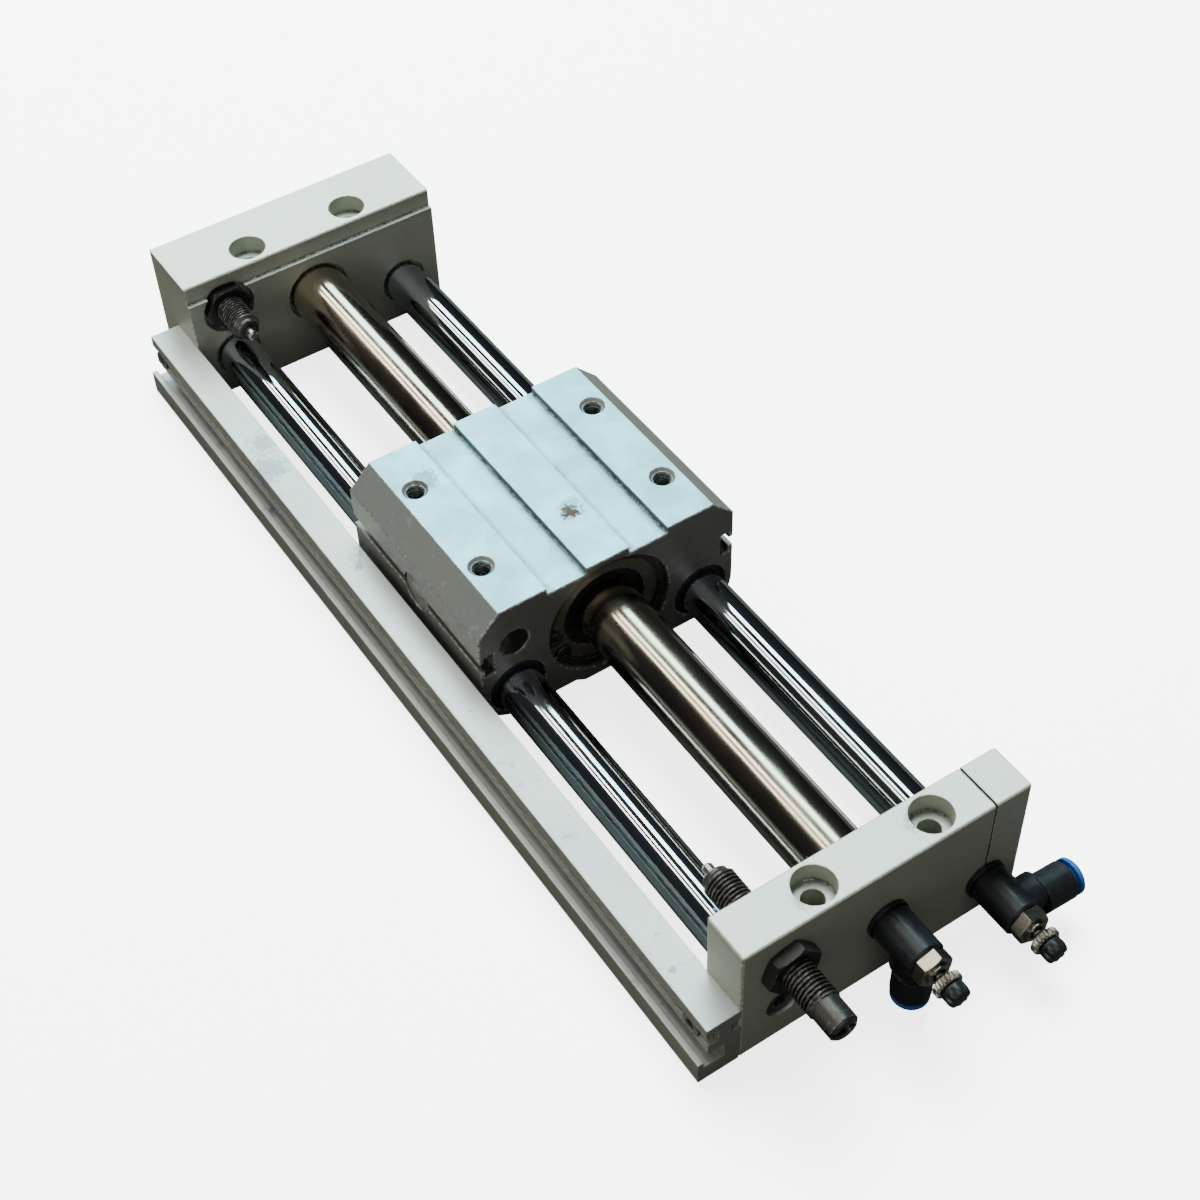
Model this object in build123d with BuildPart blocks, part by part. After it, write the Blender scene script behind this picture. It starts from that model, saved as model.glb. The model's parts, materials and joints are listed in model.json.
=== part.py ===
from build123d import *
import math
import os

os.makedirs("parts", exist_ok=True)

# Magnetic rodless cylinder with two guide rods, all lengths in millimetres.
# Origin: on the underside, at the centre of the four plate holes.
# +X runs along the tube towards the port plate, +Z is up, and the switch rail is on the -Y side.

# Travel and the carriage's place at rest
stroke = 150.0
carriage_offset = -2.2
block_length = 61.4
shock_reach = 13.2
pin_reach = 3.0

# End plates
plate_margin = 1.7
plate_drop = 1.7
port_plate_length = 12.5
far_plate_length = 21.9
far_hole_setback = 6.5
far_step = 1.4
far_step_drop = 5.5
plate_edge = 0.4
hole_spread = 31.4
base_hole_diameter = 5.5
base_bore_diameter = 10.2
base_bore_depth = 5.5

# Tube, guide rods and shock absorbers
tube_diameter = 17.0
tube_wall = 1.0
rod_diameter = 12.0
rod_bore = 5.0
rod_edge = 0.8
socket_depth = 5.5
far_socket_depth = 8.0
socket_relief = 0.8
socket_relief_depth = 1.2
gasket_section = 1.5
shock_rise = 16.0
shock_diameter = 8.0
shock_nose_length = 2.0
shock_nose_diameter = 6.4
shock_plain_diameter = 7.3
port_shock_plain = 6.9
far_shock_plain = 3.0
port_shock_overhang = 19.6
far_shock_overhang = 6.9
shock_slot_width = 1.8
shock_slot_depth = 2.2
pin_diameter = 2.8
pin_length = 16.0
pin_well = 6.0
nut_flats = 12.0
nut_length = 3.5
port_nut_turn = 12.0
far_nut_turn = 0.0
spot_diameter = 15.4
spot_depth = 1.6

# Switch rail, its profile measured outwards from the plates and up from the base
rail_height = 19.2
rail_top_width = 8.7
rail_foot_width = 10.8
rail_far_margin = 4.4
rail_top_wall = 1.9
rail_lip_wall = 0.9
rail_web_wall = 5.5
rail_lip_drop = 3.3
rail_shelf_drop = 6.2
rail_shelf_thickness = 3.1
rail_shelf_width = 8.2
rail_groove_back = 3.9
rail_floor_top = 5.1
rail_foot_rise = 1.9
rail_foot_lip = 1.5
rail_edge = 0.3
rail_strip_drop = 3.0
rail_strip_width = 3.0
rail_strip_depth = 2.2
rail_screw_drop = 5.8
rail_screw_diameter = 3.0
rail_screw_head = 5.5
rail_screw_head_length = 3.0
rail_screw_bore = 6.0
rail_screw_grip = 4.5

# Slide block, seen along the tube
block_clearance = 2.5
roof_wall = 2.0
web_wall = 2.53
corner_wall = 2.1
block_chamfer = 6.2
block_edge = 0.3
land_half = 6.1
channel_outer = 17.2
channel_depth = 1.9
keel_half = 7.9
keel_root = 10.7
keel_height = 0.9
keel_wall = 2.8
slot_rise = 12.3
slot_mouth = 3.0
slot_width = 6.8
slot_lip = 1.25
slot_depth = 3.7
block_hole_x = 31.0
block_hole_y = 52.0
block_hole_diameter = 5.0
block_hole_rim = 6.7
block_hole_depth = 10.0
pad_diameter = 7.8
pad_length = 5.0
pad_recess = 0.3
holder_diameter = 10.4
holder_recess = 0.7
magnet_diameter = 5.0
magnet_length = 2.2

# Magnet coupling: the same stack of magnets and yokes outside and inside the tube
magnet_count = 4
yoke_thickness = 2.84
wear_ring_length = 3.0
snap_recess = 1.4
snap_thickness = 1.2
snap_groove = 1.4
snap_width = 2.0
spacer_length = 2.4
spacer_wall = 5.75
scraper_length = 2.4
outer_magnet_gap = 0.6
outer_magnet_wall = 8.4
inner_magnet_gap = 0.5
shaft_diameter = 5.0
piston_gap = 0.2
piston_length = 7.0
piston_seal_length = 1.8
piston_seal_section = 1.6
bumper_length = 2.0
bumper_diameter = 9.0
piston_nut_length = 2.7
piston_nut_flats = 8.0

# Guide bushes and their scrapers
bush_wall = 1.7
bush_edge = 0.3
bush_length = 20.0
rod_scraper_length = 2.4
rod_scraper_recess = 0.8

# Speed-control fittings, measured outwards from the port plate
port_thread_diameter = 5.0
port_thread_length = 4.0
washer_diameter = 7.6
washer_length = 0.6
stem_flange_diameter = 7.6
stem_flange_length = 0.8
sleeve_diameter = 6.0
stem_air_bore = 2.6
elbow_start = 0.3
elbow_flange_diameter = 10.6
elbow_flange_end = 1.2
elbow_groove_end = 1.7
elbow_groove_depth = 0.4
elbow_diameter = 9.9
elbow_end = 13.6
elbow_edge = 0.6
hex_gap = 0.15
hex_flats = 8.0
hex_length = 3.1
tube_port_hex_turn = 17.0
rod_port_hex_turn = 48.0
boss_diameter = 5.8
boss_length = 0.7
branch_offset = 10.2
branch_shoulder = 7.4
branch_shoulder_start = 4.2
branch_shoulder_width = 8.4
branch_diameter = 9.3
branch_reach = 15.0
branch_socket_diameter = 6.4
branch_socket_start = 7.2
branch_air_bore = 2.4
ring_reach = 17.2
ring_flange_diameter = 9.0
ring_flange_length = 1.3
ring_neck_end = 10.4
tube_bore_diameter = 4.2
collet_start = 7.4
collet_length = 2.0
needle_diameter = 3.5
needle_start = 11.4
needle_tip_diameter = 1.2
needle_neck_diameter = 2.4
needle_neck_start = 16.4
needle_neck_end = 18.2
needle_cone_end = 18.8
locknut_start = 19.0
locknut_length = 2.4
locknut_diameter = 7.2
locknut_teeth = 24
knob_start = 21.6
knob_length = 3.2
knob_diameter = 5.9
knob_flutes = 8
knob_flute_diameter = 1.2
tube_port_tilt = -90.0
rod_port_tilt = -4.5
rod_port_shift = 1.5

# Screws and plugs
end_screw_diameter = 5.0
end_screw_head = 8.5
end_screw_head_length = 4.0
end_screw_bore = 9.0
end_screw_bore_depth = 4.6
end_screw_grip = 9.0
clamp_slit = 0.6
clamp_screw_rise = 15.7
clamp_screw_diameter = 4.0
clamp_screw_head = 7.0
clamp_screw_head_length = 4.0
clamp_screw_bore = 7.6
clamp_screw_bore_depth = 4.4
clamp_screw_reach = 5.4
passage_diameter = 4.0
passage_drop = 0.55
passage_setback = 13.8
passage_pocket = 17.2
passage_pocket_diameter = 9.0
plug_diameter = 6.0
plug_length = 6.0
hex_key_ratio = 0.55
hex_key_depth = 2.0

# Clearances: running between pieces that move, seat between pieces that stay put
running = 0.05
seat = 0.02
rest_gap = 0.1

# Cross-section, worked out from the tube: its magnets, then the block, rods and plates round them
piston_bore = tube_diameter - 2 * tube_wall
inner_magnet_diameter = piston_bore - 2 * inner_magnet_gap
piston_diameter = piston_bore - 2 * piston_gap
outer_magnet_bore = tube_diameter + 2 * outer_magnet_gap
bore_diameter = outer_magnet_bore + 2 * outer_magnet_wall
spacer_bore = bore_diameter - 2 * spacer_wall
tube_height = keel_height + keel_wall + bore_diameter / 2
block_top = tube_height + bore_diameter / 2 + roof_wall
plate_height = block_top - plate_drop
bush_diameter = rod_diameter + 2 * bush_wall
corner_radius = bush_diameter / 2 + corner_wall
rod_height = block_clearance + corner_radius
rod_distance = bore_diameter / 2 + snap_groove / 2 + web_wall + bush_diameter / 2
rod_spacing = 2 * math.sqrt(rod_distance**2 - (tube_height - rod_height) ** 2)
block_half = rod_spacing / 2 + corner_radius
plate_width = 2 * (block_half + plate_margin)
shock_height = rod_height + shock_rise
slot_height = rod_height + slot_rise
clamp_screw_height = rod_height + clamp_screw_rise
passage_height = (tube_height + rod_height) / 2 - passage_drop
rail_screw_height = rail_height - rail_screw_drop
rail_shelf_top = rail_height - rail_shelf_drop

# Stations along X
port_setback = port_plate_length / 2
free_length = block_length + stroke + 2 * (shock_reach + pin_reach)
hole_pitch = port_setback + free_length + far_hole_setback
port_hole_x = hole_pitch / 2
far_hole_x = -hole_pitch / 2
port_inner = port_hole_x - port_setback
port_outer = port_inner + port_plate_length
far_inner = far_hole_x + far_hole_setback
far_face = far_inner + far_step
far_outer = far_inner - far_plate_length
carriage_x = (port_inner + far_inner) / 2 + carriage_offset
block_front = carriage_x + block_length / 2
block_back = carriage_x - block_length / 2
tube_port_end = port_inner + socket_depth
tube_far_end = far_inner - far_socket_depth
left_y = -rod_spacing / 2
right_y = rod_spacing / 2
rod_port_y = right_y + rod_port_shift

# Axes parallel to X, as (y, z)
tube_axis = (0.0, tube_height)
left_axis = (left_y, rod_height)
right_axis = (right_y, rod_height)
rod_port_axis = (rod_port_y, rod_height)
shock_axis = (left_y, shock_height)


# Plane square to X, centred on an axis, with its own x along +Y and its own y along +Z
def station(x, axis=(0.0, 0.0)):
    return Plane(origin=(x, axis[0], axis[1]), x_dir=(0, 1, 0), z_dir=(1, 0, 0))


# Plane square to Y, facing +Y, with its own x along +X
def side_plane(x, y, z):
    return Plane(origin=(x, y, z), x_dir=(1, 0, 0), z_dir=(0, 1, 0))


# Round bar or ring standing in the current part, from x over a length
def bar(x, axis, diameter, length, mode=Mode.ADD, bore=0.0):
    with BuildSketch(station(x, axis)) as section:
        Circle(diameter / 2)
        if bore > 0:
            Circle(bore / 2, mode=Mode.SUBTRACT)
    extrude(section.sketch, amount=length, mode=mode)


# Solid of revolution about a line, outline given as (distance along it, radius)
def turned(plane, outline, mode=Mode.ADD):
    with BuildSketch(plane) as section:
        with BuildLine():
            Polyline(*outline, close=True)
        make_face()
    revolve(section.sketch, axis=Axis(plane.origin, plane.x_dir), mode=mode)


# Plane through an axis parallel to X, with its own x along +X and its own y along +Z
def lathe(x, axis):
    return Plane(origin=(x, axis[0], axis[1]), x_dir=(1, 0, 0), z_dir=(0, -1, 0))


# Hexagonal bar from x over a length, with one corner turned from +Y
def hex_bar(x, axis, flats, length, turn=0.0, bore=0.0, mode=Mode.ADD):
    corner = flats / math.sqrt(3)
    with BuildSketch(station(x, axis)) as section:
        RegularPolygon(corner, 6, rotation=turn)
        if bore > 0:
            Circle(bore / 2, mode=Mode.SUBTRACT)
    extrude(section.sketch, amount=length, mode=mode)


# Corners of a hexagon cut back by a 30 degree cone at the end that faces the given way along X
def cut_corners(x, axis, flats, facing):
    cone = flats / 2
    rise = flats / math.sqrt(3) - cone
    depth = 2 * rise * math.tan(math.radians(30))
    outer = cone + 2 * rise
    turned(lathe(x, axis), [(0, cone), (0, outer), (-facing * depth, outer)], Mode.SUBTRACT)


def save(part, name):
    part.label = name
    export_step(part, "parts/" + name + ".step")


# Hexagon socket cut into a screw end that faces the plane's normal
def key_socket(plane, head_diameter):
    with BuildSketch(plane) as section:
        RegularPolygon(head_diameter * hex_key_ratio / 2, 6)
    extrude(section.sketch, amount=-hex_key_depth, mode=Mode.SUBTRACT)


clamp_screw_tip = right_y - clamp_screw_reach

# Port end plate: clamp slit over the right rod, ports for air, sockets for tube and rods
with BuildPart() as port_end_plate:
    with BuildSketch(station(port_inner)):
        with Locations((0, plate_height / 2)):
            Rectangle(plate_width, plate_height)
    extrude(amount=port_plate_length)
    chamfer(port_end_plate.edges(), plate_edge)
    with Locations(Plane.XY.offset(plate_height)):
        with Locations((port_hole_x, -hole_spread / 2), (port_hole_x, hole_spread / 2)):
            CounterBoreHole(base_hole_diameter / 2, base_bore_diameter / 2, base_bore_depth)
    bar(port_inner, tube_axis, tube_diameter + 2 * seat, socket_depth, Mode.SUBTRACT)
    bar(port_inner, tube_axis, tube_diameter + 2 * socket_relief, socket_relief_depth, Mode.SUBTRACT)
    groove_x = port_inner + socket_depth - gasket_section - socket_relief
    bar(groove_x, tube_axis, tube_diameter + 2 * gasket_section, gasket_section, Mode.SUBTRACT)
    for rod_axis in (left_axis, right_axis):
        bar(port_inner, rod_axis, rod_diameter + 2 * seat, socket_depth, Mode.SUBTRACT)
        bar(port_inner, rod_axis, rod_diameter + 2 * socket_relief, socket_relief_depth, Mode.SUBTRACT)
    bar(groove_x, right_axis, rod_diameter + 2 * gasket_section, gasket_section, Mode.SUBTRACT)
    for port_axis in (tube_axis, rod_port_axis):
        bar(port_inner, port_axis, port_thread_diameter + 2 * seat, port_plate_length, Mode.SUBTRACT)
    bar(port_inner, shock_axis, shock_diameter + 2 * seat, port_plate_length, Mode.SUBTRACT)
    bar(port_inner, left_axis, end_screw_diameter + 2 * seat, port_plate_length, Mode.SUBTRACT)
    bar(port_outer, left_axis, end_screw_bore, -end_screw_bore_depth, Mode.SUBTRACT)
    with BuildSketch(station(port_inner)):
        with Locations((rod_port_y, (plate_height + rod_height) / 2)):
            Rectangle(clamp_slit, plate_height - rod_height)
    extrude(amount=port_plate_length, mode=Mode.SUBTRACT)
    right_face = side_plane(port_hole_x, plate_width / 2, clamp_screw_height)
    with BuildSketch(right_face):
        Circle(clamp_screw_diameter / 2 + seat)
    extrude(amount=clamp_screw_tip - plate_width / 2, mode=Mode.SUBTRACT)
    with BuildSketch(right_face):
        Circle(clamp_screw_bore / 2)
    extrude(amount=-clamp_screw_bore_depth, mode=Mode.SUBTRACT)
    left_face = side_plane(port_hole_x, -plate_width / 2, rail_screw_height)
    with BuildSketch(left_face):
        Circle(rail_screw_diameter / 2 + seat)
    extrude(amount=rail_screw_grip + rest_gap, mode=Mode.SUBTRACT)
save(port_end_plate.part, "port_end_plate")

# Far end plate: its lower face stands forward of the top band, with a spot face for the nut,
# and a drilled passage carries air from the hollow rod to the tube
with BuildPart() as far_end_plate:
    with BuildSketch(station(far_outer)):
        with Locations((0, plate_height / 2)):
            Rectangle(plate_width, plate_height)
    extrude(amount=far_plate_length)
    with BuildSketch(station(far_inner)):
        with Locations((0, (plate_height - far_step_drop) / 2)):
            Rectangle(plate_width, plate_height - far_step_drop)
    extrude(amount=far_step)
    outer_edges = far_end_plate.edges().filter_by(Axis.X, reverse=True).group_by(Axis.X)[0]
    chamfer(outer_edges, plate_edge)
    top_face = far_end_plate.faces().sort_by(Axis.Z)[-1]
    chamfer(top_face.edges().filter_by(Axis.Y).sort_by(Axis.X)[-1], plate_edge)
    with Locations(Plane.XY.offset(plate_height)):
        with Locations((far_hole_x, -hole_spread / 2), (far_hole_x, hole_spread / 2)):
            CounterBoreHole(base_hole_diameter / 2, base_bore_diameter / 2, base_bore_depth)
    bar(tube_far_end, tube_axis, tube_diameter + 2 * seat, far_face - tube_far_end, Mode.SUBTRACT)
    for rod_axis in (left_axis, right_axis):
        bar(tube_far_end, rod_axis, rod_diameter + 2 * seat, far_face - tube_far_end, Mode.SUBTRACT)
        bar(far_face, rod_axis, rod_diameter + 2 * socket_relief, -socket_relief_depth, Mode.SUBTRACT)
    bar(far_face, tube_axis, tube_diameter + 2 * socket_relief, -socket_relief_depth, Mode.SUBTRACT)
    far_groove_x = tube_far_end + gasket_section + socket_relief
    bar(far_groove_x, tube_axis, tube_diameter + 2 * gasket_section, gasket_section, Mode.SUBTRACT)
    bar(far_groove_x, right_axis, rod_diameter + 2 * gasket_section, gasket_section, Mode.SUBTRACT)
    bar(far_outer, shock_axis, shock_diameter + 2 * seat, far_plate_length + far_step, Mode.SUBTRACT)
    bar(far_inner - spot_depth, shock_axis, spot_diameter, spot_depth + far_step, Mode.SUBTRACT)
    bar(far_outer, left_axis, end_screw_diameter + 2 * seat, far_plate_length, Mode.SUBTRACT)
    bar(far_outer, left_axis, end_screw_bore, end_screw_bore_depth, Mode.SUBTRACT)
    pocket_x = far_inner - passage_pocket
    for pocket_axis in (tube_axis, right_axis):
        bar(pocket_x, pocket_axis, passage_pocket_diameter, tube_far_end - pocket_x, Mode.SUBTRACT)
    passage_x = far_inner - passage_setback
    side_face = side_plane(passage_x, plate_width / 2, passage_height)
    with BuildSketch(side_face):
        Circle(passage_diameter / 2)
    extrude(amount=-plate_width / 2, mode=Mode.SUBTRACT)
    with BuildSketch(side_face):
        Circle(plug_diameter / 2 + seat)
    extrude(amount=-plug_length - rest_gap, mode=Mode.SUBTRACT)
    left_face = side_plane(far_hole_x, -plate_width / 2, rail_screw_height)
    with BuildSketch(left_face):
        Circle(rail_screw_diameter / 2 + seat)
    extrude(amount=rail_screw_grip + rest_gap, mode=Mode.SUBTRACT)
save(far_end_plate.part, "far_end_plate")

# Thin-walled tube that the piston runs in
with BuildPart() as cylinder_tube:
    bar(tube_far_end, tube_axis, tube_diameter, tube_port_end - tube_far_end, bore=piston_bore)
save(cylinder_tube.part, "cylinder_tube")

# Left guide rod, tapped at both ends
with BuildPart() as left_guide_rod:
    bar(tube_far_end, left_axis, rod_diameter, tube_port_end - tube_far_end)
    chamfer(left_guide_rod.edges(), rod_edge)
    bar(tube_port_end, left_axis, end_screw_diameter + 2 * seat, -end_screw_grip - rest_gap, Mode.SUBTRACT)
    bar(tube_far_end, left_axis, end_screw_diameter + 2 * seat, end_screw_grip + rest_gap, Mode.SUBTRACT)
save(left_guide_rod.part, "left_guide_rod")

# Right guide rod, hollow, so that air reaches the far end plate
with BuildPart() as right_guide_rod:
    bar(tube_far_end, right_axis, rod_diameter, tube_port_end - tube_far_end)
    chamfer(right_guide_rod.edges(), rod_edge)
    bar(tube_far_end, right_axis, rod_bore, tube_port_end - tube_far_end, Mode.SUBTRACT)
save(right_guide_rod.part, "right_guide_rod")

# O-rings in the sockets of the tube and of the hollow rod
with BuildPart() as tube_gaskets:
    for x in (groove_x, far_groove_x):
        ring_outer = tube_diameter + 2 * gasket_section - 2 * seat
        bar(x + seat, tube_axis, ring_outer, gasket_section - 2 * seat, bore=tube_diameter + 2 * seat)
save(tube_gaskets.part, "tube_gaskets")

with BuildPart() as rod_gaskets:
    for x in (groove_x, far_groove_x):
        ring_outer = rod_diameter + 2 * gasket_section - 2 * seat
        bar(x + seat, right_axis, ring_outer, gasket_section - 2 * seat, bore=rod_diameter + 2 * seat)
save(rod_gaskets.part, "rod_gaskets")

# Screws that hold the left rod to both plates
with BuildPart() as rod_end_screws:
    port_seat_x = port_outer - end_screw_bore_depth
    bar(port_seat_x, left_axis, end_screw_head, end_screw_head_length)
    grip_x = tube_port_end - end_screw_grip
    bar(grip_x, left_axis, end_screw_diameter, port_seat_x - grip_x)
    key_socket(station(port_seat_x + end_screw_head_length, left_axis), end_screw_head)
    far_seat_x = far_outer + end_screw_bore_depth
    bar(far_seat_x, left_axis, end_screw_head, -end_screw_head_length)
    bar(far_seat_x, left_axis, end_screw_diameter, tube_far_end + end_screw_grip - far_seat_x)
    back_end = Plane(
        origin=(far_seat_x - end_screw_head_length, left_axis[0], left_axis[1]),
        x_dir=(0, 1, 0),
        z_dir=(-1, 0, 0),
    )
    key_socket(back_end, end_screw_head)
save(rod_end_screws.part, "rod_end_screws")

# Screw that closes the slit of the port plate on the right rod
with BuildPart() as clamp_screw:
    head_seat_y = plate_width / 2 - clamp_screw_bore_depth
    seat_plane = side_plane(port_hole_x, head_seat_y, clamp_screw_height)
    with BuildSketch(seat_plane):
        Circle(clamp_screw_head / 2)
    extrude(amount=clamp_screw_head_length)
    with BuildSketch(seat_plane):
        Circle(clamp_screw_diameter / 2)
    extrude(amount=clamp_screw_tip + rest_gap - head_seat_y)
    key_socket(seat_plane.offset(clamp_screw_head_length), clamp_screw_head)
save(clamp_screw.part, "clamp_screw")

# Plug that closes the drilled passage
with BuildPart() as passage_plug:
    with BuildSketch(side_face):
        Circle(plug_diameter / 2)
    extrude(amount=-plug_length)
    key_socket(side_face, plug_diameter)
save(passage_plug.part, "passage_plug")

# Switch rail, one extruded profile with two switch grooves and a cable groove at the plates
rail_start_x = far_hole_x - rail_far_margin
rail_face_y = -plate_width / 2
with BuildPart() as switch_rail:
    with BuildSketch(station(rail_start_x, (rail_face_y, 0.0))):
        with BuildLine():
            Polyline(
                (0, 0),
                (0, rail_height),
                (-rail_top_width, rail_height),
                (-rail_top_width, rail_height - rail_lip_drop),
                (-rail_top_width + rail_lip_wall, rail_height - rail_lip_drop),
                (-rail_top_width + rail_lip_wall, rail_height - rail_top_wall),
                (-rail_web_wall, rail_height - rail_top_wall),
                (-rail_web_wall, rail_shelf_top),
                (-rail_shelf_width, rail_shelf_top),
                (-rail_shelf_width, rail_shelf_top - rail_shelf_thickness),
                (-rail_groove_back, rail_shelf_top - rail_shelf_thickness),
                (-rail_groove_back, rail_floor_top),
                (-rail_foot_width + rail_foot_lip, rail_floor_top),
                (-rail_foot_width + rail_foot_lip, rail_floor_top + rail_foot_rise),
                (-rail_foot_width, rail_floor_top + rail_foot_rise),
                (-rail_foot_width, 0),
                close=True,
            )
        make_face()
        with Locations((-rail_strip_depth / 2, rail_height - rail_strip_drop - rail_strip_width / 2)):
            Rectangle(rail_strip_depth, rail_strip_width, mode=Mode.SUBTRACT)
    extrude(amount=port_outer - rail_start_x)
    long_edges = switch_rail.edges().filter_by(Axis.X)
    top_edge = long_edges.group_by(Axis.Z)[-1].sort_by(Axis.Y)[0]
    foot_edge = long_edges.group_by(Axis.Z)[0].sort_by(Axis.Y)[0]
    lip_edge = long_edges.group_by(Axis.Y)[0].sort_by(Axis.Z)[-1]
    fillet([top_edge, foot_edge, lip_edge], rail_edge)
    for screw_x in (port_hole_x, far_hole_x):
        rail_plane = side_plane(screw_x, rail_face_y, rail_screw_height)
        with BuildSketch(rail_plane):
            Circle(rail_screw_diameter / 2 + seat)
        extrude(amount=-rail_web_wall, mode=Mode.SUBTRACT)
        with BuildSketch(rail_plane.offset(-rail_web_wall)):
            Circle(rail_screw_bore / 2)
        extrude(amount=-rail_foot_width, mode=Mode.SUBTRACT)
save(switch_rail.part, "switch_rail")

# Screws through the rail into the plates
with BuildPart() as rail_screws:
    for screw_x in (port_hole_x, far_hole_x):
        head_plane = Plane(
            origin=(screw_x, rail_face_y - rail_web_wall, rail_screw_height),
            x_dir=(1, 0, 0),
            z_dir=(0, -1, 0),
        )
        with BuildSketch(head_plane):
            Circle(rail_screw_head / 2)
        extrude(amount=rail_screw_head_length)
        with BuildSketch(head_plane):
            Circle(rail_screw_diameter / 2)
        extrude(amount=-rail_web_wall - rail_screw_grip)
        key_socket(head_plane.offset(rail_screw_head_length), rail_screw_head)
save(rail_screws.part, "rail_screws")


# Shock absorbers: body, lock nut and sprung pin. The side is +1 at the port plate, where
# the nose points to -X, and -1 at the far plate, where it points to +X
def shock_plane(nose_x, side):
    return Plane(origin=(nose_x, shock_axis[0], shock_axis[1]), x_dir=(side, 0, 0), z_dir=(0, -side, 0))


def make_shock(prefix, side, plate_x, outer_x, plain_length, nut_x, nut_turn):
    nose_x = plate_x - side * shock_reach
    body_length = abs(outer_x - nose_x)
    plane = shock_plane(nose_x, side)
    well = pin_diameter / 2 + running
    with BuildPart() as shock_body:
        turned(plane, [
            (0, well),
            (0, shock_nose_diameter / 2),
            (shock_nose_length, shock_diameter / 2),
            (body_length - plain_length, shock_diameter / 2),
            (body_length - plain_length, shock_plain_diameter / 2),
            (body_length - rod_edge, shock_plain_diameter / 2),
            (body_length, shock_plain_diameter / 2 - rod_edge),
            (body_length, 0),
            (pin_length + pin_well, 0),
            (pin_length + pin_well, well),
        ])
        end_plane = Plane(origin=(outer_x, shock_axis[0], shock_axis[1]), x_dir=(0, 1, 0), z_dir=(side, 0, 0))
        with BuildSketch(end_plane):
            Rectangle(shock_slot_width, shock_diameter)
        extrude(amount=-shock_slot_depth, mode=Mode.SUBTRACT)
    save(shock_body.part, prefix + "_shock_body")

    with BuildPart() as shock_nut:
        hex_bar(nut_x, shock_axis, nut_flats, nut_length, nut_turn)
        cut_corners(nut_x, shock_axis, nut_flats, -1)
        cut_corners(nut_x + nut_length, shock_axis, nut_flats, 1)
        bar(nut_x, shock_axis, shock_diameter + 2 * seat, nut_length, Mode.SUBTRACT)
    save(shock_nut.part, prefix + "_shock_nut")

    pin_edge = pin_diameter / 6
    with BuildPart() as shock_pin:
        turned(plane, [
            (-pin_reach, 0),
            (-pin_reach, pin_diameter / 2 - pin_edge),
            (-pin_reach + pin_edge, pin_diameter / 2),
            (pin_length, pin_diameter / 2),
            (pin_length, 0),
        ])
    save(shock_pin.part, prefix + "_shock_pin")


port_shock_end = port_outer + port_shock_overhang
far_shock_end = far_outer - far_shock_overhang
make_shock("port", 1, port_inner, port_shock_end, port_shock_plain, port_outer, port_nut_turn)
make_shock("far", -1, far_inner, far_shock_end, far_shock_plain, far_inner - spot_depth, far_nut_turn)

# Slide block: top lands and channels, side T-slots, bores for the magnet stack and the rods
block_bottom = rod_height - corner_radius
stack_bore_depth = snap_recess + snap_thickness
with BuildPart() as slide_block:
    with BuildSketch(station(block_back)):
        with BuildLine():
            Polyline(
                (0, block_top),
                (land_half, block_top),
                (land_half, block_top - channel_depth),
                (channel_outer, block_top - channel_depth),
                (channel_outer, block_top),
                (block_half - block_chamfer, block_top),
                (block_half, block_top - block_chamfer),
                (block_half, rod_height),
            )
            CenterArc(right_axis, corner_radius, 0, -90)
            Polyline(
                (right_y, block_bottom),
                (keel_root, block_bottom),
                (keel_half, keel_height),
                (0, keel_height),
            )
            mirror(about=Plane.YZ)
        make_face()
        with Locations(tube_axis):
            Circle(bore_diameter / 2, mode=Mode.SUBTRACT)
        with Locations(left_axis, right_axis):
            Circle(bush_diameter / 2 + seat, mode=Mode.SUBTRACT)
        for side in (-1, 1):
            with Locations((side * (block_half - slot_lip / 2), slot_height)):
                Rectangle(slot_lip, slot_mouth, mode=Mode.SUBTRACT)
            with Locations((side * (block_half - (slot_lip + slot_depth) / 2), slot_height)):
                Rectangle(slot_depth - slot_lip, slot_width, mode=Mode.SUBTRACT)
    extrude(amount=block_length)
    snap_diameter = bore_diameter + snap_groove
    bar(block_back + snap_recess, tube_axis, snap_diameter, snap_thickness, Mode.SUBTRACT)
    bar(block_front - snap_recess, tube_axis, snap_diameter, -snap_thickness, Mode.SUBTRACT)
    bar(block_back, shock_axis, pad_diameter + 2 * seat, pad_length + pad_recess, Mode.SUBTRACT)
    bar(block_front, shock_axis, pad_diameter + 2 * seat, -pad_length - pad_recess, Mode.SUBTRACT)
    with BuildSketch(Plane.XY.offset(block_top)):
        with Locations((carriage_x, 0)):
            with GridLocations(block_hole_x, block_hole_y, 2, 2):
                Circle(block_hole_diameter / 2)
    extrude(amount=-block_hole_depth, mode=Mode.SUBTRACT)
    end_faces = slide_block.faces().filter_by(Axis.X).group_by(Axis.X)
    chamfer(end_faces[0].edges() + end_faces[-1].edges(), block_edge)
    rim_faces = slide_block.faces().filter_by(Plane.XY).group_by(Axis.Z)[-1]
    rim_edges = rim_faces.edges().filter_by(GeomType.CIRCLE)
    chamfer(rim_edges, (block_hole_rim - block_hole_diameter) / 2)
    magnet_face = side_plane(carriage_x, -block_half, slot_height)
    with BuildSketch(magnet_face):
        Circle(holder_diameter / 2 + seat)
    extrude(amount=slot_depth + rest_gap, mode=Mode.SUBTRACT)
save(slide_block.part, "slide_block")

# Switch magnet in its holder, sunk in the left side of the block
holder_plane = magnet_face.offset(slot_depth)
with BuildPart() as magnet_holder:
    with BuildSketch(holder_plane):
        Circle(holder_diameter / 2)
    extrude(amount=holder_recess - slot_depth)
    with BuildSketch(magnet_face.offset(holder_recess)):
        Circle(magnet_diameter / 2 + seat)
    extrude(amount=magnet_length, mode=Mode.SUBTRACT)
save(magnet_holder.part, "magnet_holder")

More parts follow.
